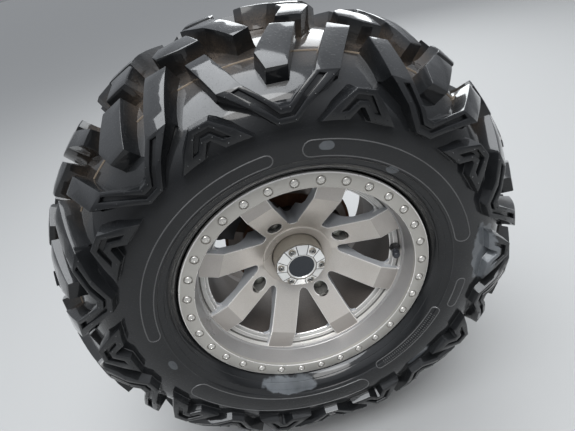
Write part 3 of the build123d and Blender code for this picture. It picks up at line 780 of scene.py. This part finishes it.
BADGE_RIM = 18.7
BADGE_OUTLINE = [
    (0.0, 45.2), (10.0, 45.3), (18.6, 45.7), (18.9, 45.4), (19.6, 44.7), (20.4, 44.9), (20.7, 45.8),
    (20.7, 47.8), (0.0, 47.8),
]
badge = bmesh.new()
turned(badge, BADGE_OUTLINE, 64, closed=False)
paint(badge, 1, lambda centre: from_axis(centre) > BADGE_RIM)
badge_black = satin("badge_black", (0.012, 0.016, 0.022), (0.03, 0.034, 0.04), 0.0, 0.12)
finish_piece(badge, "badge_disc", [badge_black, cap_chrome], ("cap_badge",))

# %% [markdown]
# ## Valve
# A rubber snap-in valve leans out of the ledge: a foot with a rounded collar, a slim stem and
# a ribbed plastic cap. It is drawn upright about the axis and then swung to its place.

# %% Build the valve and its cap
VALVE_ANGLE, VALVE_LEAN, VALVE_PLACE, VALVE_DEPTH, VALVE_LENGTH = -5.15, 18.0, 137.65, 42.0, 13.0
STEM_OUTLINE = [
    (0.0, 0.0), (5.5, 0.0), (5.5, -3.0), (7.4, -3.4), (7.9, -4.6), (7.4, -6.0), (6.2, -7.4),
    (5.6, -9.0), (5.0, -11.0), (4.8, -VALVE_LENGTH), (0.0, -VALVE_LENGTH),
]
VALVE_CAP_OUTLINE = [
    (0.0, 0.0), (4.9, 0.0), (5.2, -0.6), (5.2, -9.4), (4.4, -11.4), (3.0, -12.2), (0.0, -12.2),
]
RIB_STEP, RIB_OUTSIDE, RIB_SHARE = 7.5, 5.1, 0.93
lean = radians(VALVE_LEAN)
valve_way = polar(-sin(lean), VALVE_ANGLE) + Vector((0.0, -cos(lean), 0.0))
valve_turn = Vector((0.0, -1.0, 0.0)).rotation_difference(valve_way).to_matrix().to_4x4()
valve_place = Matrix.Translation(polar(VALVE_PLACE, VALVE_ANGLE, VALVE_DEPTH)) @ valve_turn
stem = bmesh.new()
turned(stem, STEM_OUTLINE, 32, closed=False)
bmesh.ops.transform(stem, matrix=valve_place, verts=stem.verts)
valve_rubber = satin("valve_rubber", (0.012, 0.012, 0.013), (0.03, 0.029, 0.027), 0.0, 0.25)
finish_piece(stem, "valve_rubber_stem", [valve_rubber], ("valve_stem",))

ribs = bmesh.new()
turned(ribs, VALVE_CAP_OUTLINE, 48, closed=False)
shift(ribs, (0.0, -VALVE_LENGTH, 0.0))
for vert in ribs.verts:
    step = round(degrees(atan2(vert.co.z, vert.co.x)) / RIB_STEP)
    if from_axis(vert.co) > RIB_OUTSIDE and step % 2:
        vert.co.x *= RIB_SHARE
        vert.co.z *= RIB_SHARE
bmesh.ops.transform(ribs, matrix=valve_place, verts=ribs.verts)
cap_black = satin("valve_cap_black", (0.016, 0.018, 0.022), (0.04, 0.043, 0.05), 0.0, 0.16)
finish_piece(ribs, "ribbed_valve_cap", [cap_black], ("valve_cap",), sharp=50.0)

# %% [markdown]
# ## Wheel nuts
# Four plated hexagon nuts clamp the wheel. They sit deep in their wells, where neither thread
# nor washer can be seen, so a six-sided bar with rounded edges is enough. Blender makes it as a
# cone with two equal ends, which is then laid along the wheel's axis.

# %% Build the wheel nuts
NUT_RADIUS, NUT_LENGTH, NUT_DEPTH, NUT_ROUND = 8.66, 17.6, 81.0, 0.9
nuts = bmesh.new()
for number in range(0, SPOKES, 2):
    place = polar(WELL_PLACE, spoke_angle(number), NUT_DEPTH)
    nut = bmesh.new()
    bmesh.ops.create_cone(
        nut, cap_ends=True, cap_tris=False, segments=6, radius1=NUT_RADIUS, radius2=NUT_RADIUS,
        depth=NUT_LENGTH,
    )
    upright = Matrix.Rotation(radians(90.0), 3, "X")
    bmesh.ops.rotate(nut, cent=(0, 0, 0), matrix=upright, verts=nut.verts)
    shift(nut, place)
    round_edges(nut, nut.edges[:], NUT_ROUND)
    gather(nuts, nut)
nut_chrome = satin("nut_chrome", (0.30, 0.305, 0.28), (0.12, 0.12, 0.10), 0.8, 0.25)
finish_piece(nuts, "domed_wheel_nuts", [nut_chrome], ("lug_nuts",))

# %% [markdown]
# ## Rubber
# The tyre is wet: near black, with a sharp sheen on the tops of the lugs. Between the lugs it
# keeps a film of brown dirt. A few light grey patches on the outer sidewall are painted
# reflections of the sky in the water on it. How deep a point lies below the lugs' tops is
# stored on the mesh as an attribute called groove, and the material reads it.

# %% Mix the rubber
# Light grey patches painted on the wet outer sidewall, as reflections of the sky.
# columns: angle, half angle, radius, half width
PAINTED_SKY_PATCHES = [
    (-112.0, 15.0, 182.0, 10.0), (-4.0, 11.0, 237.0, 17.0), (-54.0, 5.5, 228.0, 5.0),
    (75.0, 2.3, 209.0, 5.0), (50.0, 2.2, 192.0, 5.0), (-170.0, 2.5, 204.0, 4.5),
]
OUTER_SIDE = 0.045


def painted_sky_patches(material):
    """1 where a painted reflection of the sky lies on the wet outer sidewall, with an uneven edge."""
    radius, parts = from_spin_axis(material)
    angle = calc(material, "ARCTAN2", parts["Z"], parts["X"])
    uneven = ramp(material, noise(material, 60.0, 4.0), 0.3, 0.7, -0.4, 0.4)
    film = 0.0
    for middle, half_angle, mid_radius, half_width in PAINTED_SKY_PATCHES:
        turn = calc(material, "SUBTRACT", angle, radians(middle))
        turn = calc(material, "DIVIDE", turn, radians(half_angle))
        reach = calc(material, "SUBTRACT", radius, mid_radius * 0.001)
        reach = calc(material, "DIVIDE", reach, half_width * 0.001)
        squares = [calc(material, "MULTIPLY", way, way) for way in (turn, reach)]
        far = calc(material, "ADD", calc(material, "ADD", *squares), uneven)
        film = calc(material, "MAXIMUM", ramp(material, far, 1.1, 0.85, 0.0, 1.0), film)
    outside = calc(material, "LESS_THAN", parts["Y"], ring_face + OUTER_SIDE)
    return calc(material, "MULTIPLY", film, outside)


def tyre_rubber():
    """Wet black rubber with a film of dirt between the lugs, and light patches on the outer sidewall
    painted as reflections of the sky.
    """
    material = new_material("tyre_rubber", (0.014, 0.015, 0.017), 0.0, 0.3)
    connect(material, Specular_IOR_Level=0.1, Coat_Weight=1.0, Coat_Roughness=0.07, Coat_IOR=1.42)
    groove = add_node(material, "ShaderNodeAttribute")
    groove.attribute_name = "groove"
    patches = noise(material, 22.0, 6.0)
    grit = noise(material, 650.0)
    orange_peel = noise(material, 300.0, 2.0)
    deep = ramp(material, groove.outputs["Fac"], 0.1, 0.9, 0.0, 1.0)
    dirt = calc(material, "MULTIPLY", deep, ramp(material, patches, 0.40, 0.60, 0.2, 1.0))
    rubber = blend_colour(material, ramp(material, patches, 0.3, 0.7, 0.0, 1.0),
                          (0.0045, 0.005, 0.0055), (0.009, 0.0095, 0.0105))
    soil = blend_colour(material, ramp(material, grit, 0.35, 0.65, 0.0, 1.0),
                        (0.060, 0.045, 0.033), (0.022, 0.018, 0.015))
    tone = blend_colour(material, calc(material, "MULTIPLY", dirt, 0.8), rubber, soil)
    thin = ramp(material, patches, 0.3, 0.7, 0.35, 1.0)
    film = calc(material, "MULTIPLY", painted_sky_patches(material), thin)
    # Inside the patches the colour turns a lighter grey, a painted reflection of the sky.
    connect(material, Base_Color=blend_colour(material, film, tone, (0.13, 0.14, 0.15)))
    wet = ramp(material, noise(material, 9.0, 4.0), 0.35, 0.65, 0.30, 0.48)
    connect(material, Roughness=calc(material, "ADD", wet, calc(material, "MULTIPLY", dirt, 0.3)))
    drops = ramp(material, noise(material, 420.0, 1.0), 0.62, 0.70, 0.0, 2.5)
    height = calc(material, "ADD", grit, calc(material, "MULTIPLY", orange_peel, 2.0))
    bumps(material, calc(material, "ADD", height, drops), 0.00018, 0.5)
    return material


rubber = tyre_rubber()
mould_line = satin("mould_line", (0.20, 0.155, 0.11), (0.05, 0.04, 0.03), 0.0, 0.6)
# The moulded lines are a lighter grey, partly worn rubber and partly painted glints of wet highlights.
worn_line_painted_glint = satin("worn_line_painted_glint", (0.115, 0.115, 0.115), (0.03, 0.03, 0.03), 0.0, 0.3)
print("rubber made")

# %% [markdown]
# ## Tyre casing
# The casing is one outline spun about the axis: tread floor with a thin mould line, rounded
# shoulder, sidewall with a few fine moulded rings by the bead, and the hollow inside. One half
# of the outline is given, and the other mirrors it.

# %% Spin the casing
# columns: distance from the centre plane, radius
OUTER_WALL = [
    (0.0, 303.8), (26.0, 302.6), (48.0, 298.8), (62.0, 295.2), (69.9, 291.7), (70.2, 292.7),
    (70.8, 292.5), (71.1, 291.2), (85.0, 285.4), (98.0, 278.2), (108.0, 270.8), (116.0, 262.6),
    (122.0, 254.4), (126.6, 245.0), (130.0, 234.0), (132.2, 222.0), (132.6, 211.0),
    (131.4, 201.0), (129.6, 194.6), (129.8, 194.0), (129.2, 193.2), (128.0, 192.4),
    (125.0, 186.6), (124.6, 185.9), (125.0, 185.2), (123.6, 183.4), (119.6, 179.4),
    (118.2, 178.6), (117.8, 177.4), (114.0, 174.6), (110.0, 172.6), (106.8, 171.4),
    (103.0, 170.0), (101.3, 169.6), (101.3, 153.6),
]
INNER_WALL = [
    (81.0, 153.6), (96.0, 178.0), (116.0, 205.0), (118.0, 232.0), (104.0, 258.0), (80.0, 274.0),
    (50.0, 284.0), (0.0, 288.0),
]
half = OUTER_WALL + INNER_WALL
section = half + [(-across, radius) for across, radius in reversed(half) if across > 0.0]
tyre = bmesh.new()
turned(tyre, [(radius, TYRE_CENTRE - across) for across, radius in section], 224)
face_outward(tyre)
print("casing", len(tyre.faces), "faces")

# %% [markdown]
# ## Tread lugs
# A lug wraps round the shoulder of the tyre, so it is drawn flat first. In the drawing, x is
# the way round the tyre, z is the way over the tread from its centre line, and y is the depth
# below the lugs' tops. One curve carries the tops of the V lugs and the blocks over the
# shoulder, another the lower chevrons between them.

# %% Tools for the flat drawing
PITCHES, VEE_PHASE, CHEVRON_ANGLE, FLAT_DEGREE = 10, 85.3, 18.15, 5.0
LUG_DEPTH, TOP_LAYER = 27.0, 8.0
ACROSS, RADIUS = range(2)
# columns: distance from the centre plane, radius
CROWN = [(0.0, 330.0), (26.0, 330.0), (62.0, 319.0), (98.0, 301.0), (124.5, 284.5)]
SHOULDER = [(135.0, 264.0), (139.5, 240.0), (140.5, 226.0)]


def rounded(points, steps):
    """Points of a smooth curve through the given ones."""
    dense = []
    for i in range(len(points) - 1):
        first = points[max(0, i - 1)]
        start, end = points[i], points[i + 1]
        last = points[min(len(points) - 1, i + 2)]
        for step in range(steps):
            s = step / steps
            weights = (
                -0.5 * s + s * s - 0.5 * s ** 3, 1.0 - 2.5 * s * s + 1.5 * s ** 3,
                0.5 * s + 2.0 * s * s - 1.5 * s ** 3, -0.5 * s * s + 0.5 * s ** 3,
            )
            dense.append(tuple(
                sum(w * p[axis] for w, p in zip(weights, (first, start, end, last)))
                for axis in (0, 1)
            ))
    return dense + [points[-1]]


TOP_CURVE = rounded(CROWN, 3) + SHOULDER
CHEVRON_CURVE = [(131.0, 290.0), (136.8, 272.0), (139.4, 237.0), (140.0, 226.0)]


def travel(curve, value, axis):
    """Length along a curve to the point with a distance from the centre plane, or a radius."""
    gone = 0.0
    for start, end in zip(curve, curve[1:]):
        step = hypot(end[0] - start[0], end[1] - start[1])
        rise = end[axis] - start[axis]
        share = (value - start[axis]) / rise if rise else 2.0
        if 0.0 <= share <= 1.0:
            return gone + share * step
        gone += step
    return gone


def at_travel(curve, length):
    """The point of a curve at a length along it."""
    for (a, r), (b, s) in zip(curve, curve[1:]):
        step = hypot(b - a, s - r)
        if length <= step or (b, s) == curve[-1]:
            return Vector((a + (b - a) * length / step, r + (s - r) * length / step))
        length -= step
    return Vector(curve[-1])


def flat(curve, angle, value, axis):
    """A point of the flat drawing, at an angle round the tyre."""
    return Vector((angle * FLAT_DEGREE, 0.0, travel(curve, value, axis)))


def on_tyre(point, curve, roots):
    """Lays a point of the flat drawing on the tyre; roots gives the lug's depth on the way."""
    here = at_travel(curve, point.z)
    run = (at_travel(curve, point.z + 2.0) - at_travel(curve, max(0.0, point.z - 2.0))).normalized()
    root = between(roots, point.z)
    depth = point.y
    if depth > TOP_LAYER:
        depth = TOP_LAYER + (depth - TOP_LAYER) * (root - TOP_LAYER) / (LUG_DEPTH - TOP_LAYER)
    across = here.x + depth * run.y
    radius = here.y - depth * run.x
    return polar(radius, VEE_PHASE + point.x / FLAT_DEGREE, TYRE_CENTRE - across)


print("top curve", len(TOP_CURVE), "points")

# %% [markdown]
# Each flat top gets its slot pressed in, walls that flare towards the root, and rounded top
# edges. Then every point is laid on the tyre's curve. The top is cut into strips first, so
# that it can bend.

# %% Tools for one lug
STRIP_WIDTH, SLOT_DEPTH, SLOT_SLOPE, LUG_ROUND = 20.0, 5.0, 0.5, 1.5
SLOT = 1
# columns: depth, flare
WALL_STEPS = [(18.0, 1.6), (23.0, 2.6), (LUG_DEPTH, 4.5)]


def raise_walls(bm, steps):
    """Drops walls from the open edges of a flat drawing; each step is a depth and a flare."""
    bm.normal_update()
    rim = open_edges_of(bm)
    ways = {}
    for edge in rim:
        loop = edge.link_loops[0]
        run = (loop.link_loop_next.vert.co - loop.vert.co).normalized()
        for vert in edge.verts:
            ways.setdefault(vert, []).append(run.cross(loop.face.normal))
    push = {vert: (vert.co.copy(), (w[0] + w[1]) / max(0.5, 1.0 + w[0].dot(w[1])))
            for vert, w in ways.items()}
    for depth, flare in steps:
        new = bmesh.ops.extrude_edge_only(bm, edges=rim)["geom"]
        fresh = {}
        for vert in verts_of(new):
            old = next(e.other_vert(vert) for e in vert.link_edges if e.other_vert(vert) in push)
            start, way = push[old]
            fresh[vert] = (start, way)
            vert.co = start + way * flare + Vector((0.0, depth, 0.0))
        rim = edges_within(new, fresh)
        push = fresh
    bmesh.ops.holes_fill(bm, edges=rim, sides=0)


def lug(draw, curve, roots):
    """A finished lug of one pitch, laid on the tyre."""
    bm = bmesh.new()
    draw(bm)
    weld(bm, 0.05)
    face_outward(bm)
    bm.normal_update()
    if sum(face.normal.y for face in bm.faces) > 0.0:
        bmesh.ops.reverse_faces(bm, faces=bm.faces)
    low, high = (pick(vert.co.x for vert in bm.verts) for pick in (min, max))
    cuts = [((0, 0, travel(curve, across, ACROSS)), (0, 0, 1)) for across, radius in curve[1:-1]]
    for number in range(1, int((high - low) / STRIP_WIDTH) + 1):
        cuts.append(((low + STRIP_WIDTH * number, 0, 0), (1, 0, 0)))
    for place, way in cuts:
        everything = bm.verts[:] + bm.edges[:] + bm.faces[:]
        bmesh.ops.bisect_plane(bm, geom=everything, dist=0.01, plane_co=place, plane_no=way)
    slot_faces = [face for face in bm.faces if face.material_index == SLOT]
    if slot_faces:
        bmesh.ops.inset_region(bm, faces=slot_faces, thickness=SLOT_SLOPE, depth=-SLOT_DEPTH,
                               use_even_offset=True, use_boundary=True)
    raise_walls(bm, WALL_STEPS)
    round_edges(bm, front_corners(bm), LUG_ROUND)
    face_outward(bm)
    paint(bm, 0)
    for vert in bm.verts:
        vert.co = on_tyre(vert.co, curve, roots)
    return bm


print("lug tools ready")

# %% [markdown]
# The V lugs and the chevrons are each drawn with four bent lines, the same on both sides of
# their middle, with the slot between the second and the third. The V's arms run on to slanted
# tips on the tread. The blocks are plain outlines.

# %% Draw the lugs of one pitch
# columns: angle and radius at a line's ends, then beside its point
VEE_LINES = [
    (12.45, 284.5, 2.35, 240.8), (9.5, 281.0, 1.9, 247.0), (8.1, 282.0, 1.2, 250.6),
    (7.3, 284.5, 1.2, 258.0),
]
CHEVRON_LINES = [
    (9.8, 237.5, 2.15, 270.2), (4.9, 246.4, 1.7, 264.0), (3.3, 247.4, 1.2, 258.4),
    (2.75, 238.8, 0.45, 251.6),
]
# columns: angle, distance from the centre plane
VEE_TIPS = [[(-17.0, 66.0), (-12.4, 64.0)], [(15.7, 79.0), (11.5, 76.8)]]
BLOCKS = {
    "point": [(1.9, 115.5), (-2.5, 115.5), (-6.4, 62.0), (-1.6, 60.0), (3.0, 95.0)],
    "long": [(5.5, 66.0), (2.3, 59.0), (7.5, 20.0), (8.5, 6.0), (14.5, 8.0), (12.0, 26.0), (10.1, 33.0)],
    "short": [(-3.2, 47.0), (-8.2, 47.0), (-10.5, 24.0), (-9.8, 10.0), (-4.6, 10.0), (-5.2, 26.0)],
    "cross": [(11.6, 53.0), (15.5, 54.0), (20.3, 47.5), (21.0, 38.0), (19.5, 30.0), (13.5, 32.0)],
}


def block(points):
    """The drawing of a plain block."""
    return lambda bm: add_face(bm, [flat(TOP_CURVE, angle, across, ACROSS) for angle, across in points])


def slotted(lines, curve, middle, tips=()):
    """The drawing of a V or a chevron; tips end its arms on the tread."""
    def draw(bm):
        drawn = [
            [flat(curve, middle + angle, radius, RADIUS)
             for angle, radius in ((-wide, end), (-narrow, point), (narrow, point), (wide, end))]
            for wide, end, narrow, point in lines
        ]
        strips(bm, drawn[:2])
        for face in strips(bm, drawn[1:3]):
            face.material_index = SLOT
        strips(bm, drawn[2:])
        for side, end in enumerate((0, 3)):
            add_face(bm, [line[end] for line in drawn])
            if tips:
                tip = [flat(curve, angle, across, ACROSS) for angle, across in tips[side]]
                add_face(bm, [drawn[0][end], *tip, drawn[3][end]])
    return draw


def root_depths(curve, stations):
    """A lug's depth along the way, from stations of a place on the curve and a depth."""
    table = [(travel(curve, value, axis), depth) for value, axis, depth in stations[1:-1]]
    return [stations[0]] + table + [stations[-1]]


VEE_ROOT = root_depths(TOP_CURVE, [
    (0.0, 27.0), (124.5, ACROSS, 26.0), (264.0, RADIUS, 18.0), (240.0, RADIUS, 12.0), (200.0, 11.0),
])
CHEVRON_ROOT = root_depths(CHEVRON_CURVE, [
    (0.0, 30.0), (272.0, RADIUS, 27.0), (252.0, RADIUS, 17.0), (237.0, RADIUS, 10.5), (200.0, 10.0),
])
vee = slotted(VEE_LINES, TOP_CURVE, 0.0, VEE_TIPS)
chevron = slotted(CHEVRON_LINES, CHEVRON_CURVE, CHEVRON_ANGLE)
one_pitch = bmesh.new()
gather(one_pitch, lug(vee, TOP_CURVE, VEE_ROOT))
gather(one_pitch, lug(chevron, CHEVRON_CURVE, CHEVRON_ROOT))
for points in BLOCKS.values():
    gather(one_pitch, lug(block(points), TOP_CURVE, VEE_ROOT))
print("one pitch", len(one_pitch.faces), "faces")

# %% [markdown]
# Rubber that rises into the mould's vents leaves small nubs on the lugs. They are repeated
# hundreds of times round the tyre, so each is a coarse ball, half sunk.

# %% Add the nubs
NUB_RADIUS = 0.95
# columns: radius, angle from the lug's middle
VEE_NUBS = [
    (266.3, 7.0), (266.6, 3.8), (242.6, 1.9), (255.2, 0.9), (255.3, -1.1), (266.8, -3.7),
    (264.2, -6.85), (242.6, -2.1), (279.5, 11.0), (279.5, -11.0),
]
CHEVRON_NUBS = [
    (267.3, 0.0), (261.0, 2.6), (261.0, -2.6), (243.0, 7.0), (243.0, -7.0), (254.0, 1.3),
    (254.0, -1.3), (241.5, 3.9), (241.5, -3.9),
]
for nubs, middle, curve in ((VEE_NUBS, 0.0, TOP_CURVE), (CHEVRON_NUBS, CHEVRON_ANGLE, CHEVRON_CURVE)):
    for radius, angle in nubs:
        seat = on_tyre(flat(curve, middle + angle, radius, RADIUS), curve, VEE_ROOT)
        nub = bmesh.new()
        bmesh.ops.create_icosphere(nub, subdivisions=1, radius=NUB_RADIUS)
        shift(nub, seat)
        gather(one_pitch, nub)
print("with nubs", len(one_pitch.faces), "faces")

# %% [markdown]
# ## Moulded lines on the sidewall
# Thin raised lines frame long panels on the sidewall, and one narrow panel is filled with
# short ribs. Each line is a fine tube, half sunk in the rubber. The panels stay blank.

# %% Draw the sidewall's lines
# columns: first angle, last angle, inner radius, outer radius
PANELS = [
    (4.0, 82.0, 197.0, 216.5), (91.0, 176.0, 197.0, 211.5), (205.0, 283.0, 199.0, 224.0),
    (290.0, 330.0, 188.0, 199.0), (332.0, 346.0, 204.0, 216.0),
]
RIBBED_PANEL = (294.0, 326.0, 190.5, 196.5)
RIB_COUNT = 30
PANEL_LINE, RIB_LINE = 1.5, 1.0
MOULD, WORN_AND_GLINT = range(1, 3)
side_table = sorted((radius, across) for across, radius in OUTER_WALL if radius < 262.0)


def on_sidewall(radius, angle):
    """A point of the outer sidewall."""
    return polar(radius, angle, TYRE_CENTRE - between(side_table, radius))


def panel_loop(first, last, inner, outer):
    """A long panel's outline with round ends."""
    middle, half = (inner + outer) / 2, (outer - inner) / 2
    end_angle = degrees(half / middle)
    steps = max(8, int((last - first) / 2.0))
    sweep = [first + end_angle + (last - first - 2 * end_angle) * i / steps for i in range(steps + 1)]
    loop = []
    for edge, angles, turn, centre in (
        (outer, sweep, 90.0, last - end_angle), (inner, sweep[::-1], -90.0, first + end_angle),
    ):
        loop += [on_sidewall(edge, angle) for angle in angles]
        for i in range(1, 8):
            a = radians(turn - 22.5 * i)
            loop.append(on_sidewall(middle + half * sin(a), centre + end_angle * cos(a)))
    return loop


def moulded_line(bm, points, thickness, closed=True):
    """A fine tube along points, added to the tyre."""
    data = bpy.data.curves.new("line", "CURVE")
    data.dimensions = "3D"
    data.bevel_depth = thickness / 2
    data.bevel_resolution = 1
    data.use_fill_caps = not closed
    spline = data.splines.new("POLY")
    spline.points.add(len(points) - 1)
    for target, point in zip(spline.points, points):
        target.co = (*point, 1.0)
    spline.use_cyclic_u = closed
    line = bpy.data.objects.new("line", data)
    mesh = bpy.data.meshes.new_from_object(line)
    tube = bmesh.new()
    tube.from_mesh(mesh)
    weld(tube)
    # The tube takes the lighter grey of worn rubber with painted glints.
    paint(tube, WORN_AND_GLINT)
    gather(bm, tube)
    bpy.data.objects.remove(line)
    bpy.data.meshes.remove(mesh)
    bpy.data.curves.remove(data)


for panel in PANELS:
    moulded_line(tyre, panel_loop(*panel), PANEL_LINE)
first, last, inner, outer = RIBBED_PANEL
for i in range(RIB_COUNT + 1):
    angle = first + (last - first) * i / RIB_COUNT
    ends = [on_sidewall(inner, angle), on_sidewall(outer, angle)]
    moulded_line(tyre, ends, RIB_LINE, closed=False)
print("sidewall lines", len(tyre.faces), "faces")

# %% [markdown]
# Ten copies of the pitch go round each side of the tyre, all read from one mesh. The inner side
# is the outer one mirrored and turned by half a pitch, as on the real tread, and a mirrored
# copy has its faces turned back so that they still point outward.

# %% Copy the pitch round the tyre
PITCH_ANGLE = 360.0 / PITCHES
pitch_mesh = bpy.data.meshes.new("pitch")
one_pitch.to_mesh(pitch_mesh)
one_pitch.free()
for side in (1, -1):
    for number in range(PITCHES):
        copy = bmesh.new()
        copy.from_mesh(pitch_mesh)
        angle = (number + (0.5 if side < 0 else 0.0)) * PITCH_ANGLE
        turn = Matrix.Rotation(-radians(angle), 3, "Y")
        bmesh.ops.rotate(copy, cent=(0, 0, 0), matrix=turn, verts=copy.verts)
        if side < 0:
            shift(copy, (0.0, -TYRE_CENTRE, 0.0))
            bmesh.ops.scale(copy, vec=(1.0, -1.0, 1.0), verts=copy.verts)
            shift(copy, (0.0, TYRE_CENTRE, 0.0))
            bmesh.ops.reverse_faces(copy, faces=copy.faces)
        gather(tyre, copy)
bpy.data.meshes.remove(pitch_mesh)
print("whole tyre", len(tyre.faces), "faces")

# %% [markdown]
# Dirt stays on the floor of the tread, so every point is told how deep in a groove it lies,
# and the rubber's finish reads that. The mould's parting line stands out in a paler tone.

# %% Mark the grooves and finish the tyre
TREAD_HALF, TREAD_LOW = 124.0, 250.0
DIRTY_HALF, DIRT_FADE = 98.0, 24.0
CLEAN_DEPTH, DIRT_RISE = 3.0, 14.0
PARTING_NEAR, PARTING_FAR, PARTING_LOW, PARTING_HIGH = 69.9, 71.0, 291.5, 293.5


def groove_share(point):
    """0 at the tops of the lugs and on the sidewall, 1 on the dirty floor in mid tread."""
    across = abs(TYRE_CENTRE - point.y)
    radius = from_axis(point)
    if across > TREAD_HALF or radius < TREAD_LOW:
        return 0.0
    below = at_travel(TOP_CURVE, travel(TOP_CURVE, across, ACROSS)).y - radius
    inboard = min(1.0, max(0.0, (DIRTY_HALF - across) / DIRT_FADE))
    return min(1.0, max(0.0, (below - CLEAN_DEPTH) / DIRT_RISE)) * inboard


layer = tyre.verts.layers.float.new("groove")
for vert in tyre.verts:
    vert[layer] = groove_share(vert.co)
paint(tyre, MOULD, lambda centre: PARTING_NEAR < abs(TYRE_CENTRE - centre.y) < PARTING_FAR
      and PARTING_LOW < from_axis(centre) < PARTING_HIGH)
finish_piece(tyre, "treaded_tyre", [rubber, mould_line, worn_line_painted_glint], ("tyre",),
             sharp=24.0, outward=False)

# %% [markdown]
# ## Brake, hub and carrier
# These pieces keep the CAD shape. A copy of each mesh is welded, its flat parts are dissolved
# into whole faces and its edges are rounded a little, as castings and turned parts are. Each
# then gets a finish: rusty disc rim, painted caliper, cast carrier, oily steel.

# %% Round and finish the inner pieces
WELD, FLAT_ANGLE, HARD_ANGLE = 0.00001, 1.0, 40.0


def softened(node, body, slot, material, width):
    """A copy of a CAD node with small rounded edges."""
    bm = bmesh.new()
    bm.from_mesh(nodes[node].data)
    weld(bm, WELD)
    bmesh.ops.dissolve_limit(
        bm, angle_limit=radians(FLAT_ANGLE), use_dissolve_boundaries=False, verts=bm.verts,
        edges=bm.edges, delimit=set(),
    )
    bm.normal_update()
    shared = [edge for edge in bm.edges if len(edge.link_faces) == 2]
    hard = [edge for edge in shared if edge.calc_face_angle(0.0) > radians(HARD_ANGLE)]
    round_edges(bm, hard, width)
    add_piece(bm, node + "_rounded", body, [material], (node,), 30.0)


def brake_disc_finish():
    """Swept grey steel between a rusty rim and a rusty bell."""
    material = new_material("brake_disc", (0.3, 0.3, 0.3), 0.8, 0.35)
    radius, parts = from_spin_axis(material)
    rust = calc(material, "ADD", ramp(material, radius, 0.0945, 0.0965, 0.0, 1.0),
                ramp(material, radius, 0.074, 0.071, 0.0, 1.0))
    patchy = ramp(material, noise(material, 60.0, 5.0), 0.35, 0.6, 0.25, 1.0)
    rust = calc(material, "ADD", rust, calc(material, "MULTIPLY", patchy, 0.35))
    rust = calc(material, "MINIMUM", rust, 1.0)
    brown = blend_colour(material, noise(material, 240.0), (0.20, 0.085, 0.04), (0.07, 0.035, 0.022))
    connect(material, Base_Color=blend_colour(material, rust, (0.33, 0.31, 0.29), brown))
    connect(material, Metallic=ramp(material, rust, 0.0, 1.0, 0.85, 0.1))
    connect(material, Roughness=ramp(material, rust, 0.0, 1.0, 0.28, 0.8))
    bumps(material, noise(material, 500.0), 0.0002, 0.5)
    return material


disc_steel = brake_disc_finish()
iron = satin("hub_iron", (0.12, 0.10, 0.085), (0.05, 0.036, 0.028), 0.5, 0.55, 500.0)
cast_alloy = satin("carrier_alloy", (0.33, 0.335, 0.34), (0.17, 0.155, 0.14), 0.4, 0.5, 700.0)
caliper_paint = satin("caliper_paint", (0.07, 0.07, 0.075), (0.03, 0.028, 0.025), 0.2, 0.42, 700.0)
steel = satin("plated_steel", (0.42, 0.41, 0.38), (0.20, 0.17, 0.14), 0.8, 0.32, 1500.0)
axle_steel = satin("axle_steel", (0.34, 0.335, 0.33), (0.14, 0.12, 0.10), 0.85, 0.3, 1500.0)
pad_iron = satin("pad_iron", (0.06, 0.052, 0.046), (0.11, 0.06, 0.035), 0.3, 0.7, 600.0)

# columns: node, body, slot, finish, rounding in metres
PLAIN_PARTS = [
    ("hub", "wheel", "hub_iron", iron, 0.0008),
    ("brake_disc", "wheel", "disc_steel", disc_steel, 0.0004),
    ("disc_bolts", "wheel", "bolt_steel", steel, 0.0005),
    ("wheel_studs", "wheel", "bolt_steel", steel, 0.0006),
    ("stub_axle", "wheel", "axle_steel", axle_steel, 0.0009),
    ("bearing_carrier", "carrier", "carrier_alloy", cast_alloy, 0.0012),
    ("wheel_bearing", "carrier", "axle_steel", axle_steel, 0.0006),
    ("caliper", "carrier", "caliper_paint", caliper_paint, 0.0015),
    ("brake_pads", "carrier", "pad_iron", pad_iron, 0.0005),
    ("caliper_bolts", "carrier", "bolt_steel", steel, 0.0008),
]
for row in PLAIN_PARTS:
    softened(*row)
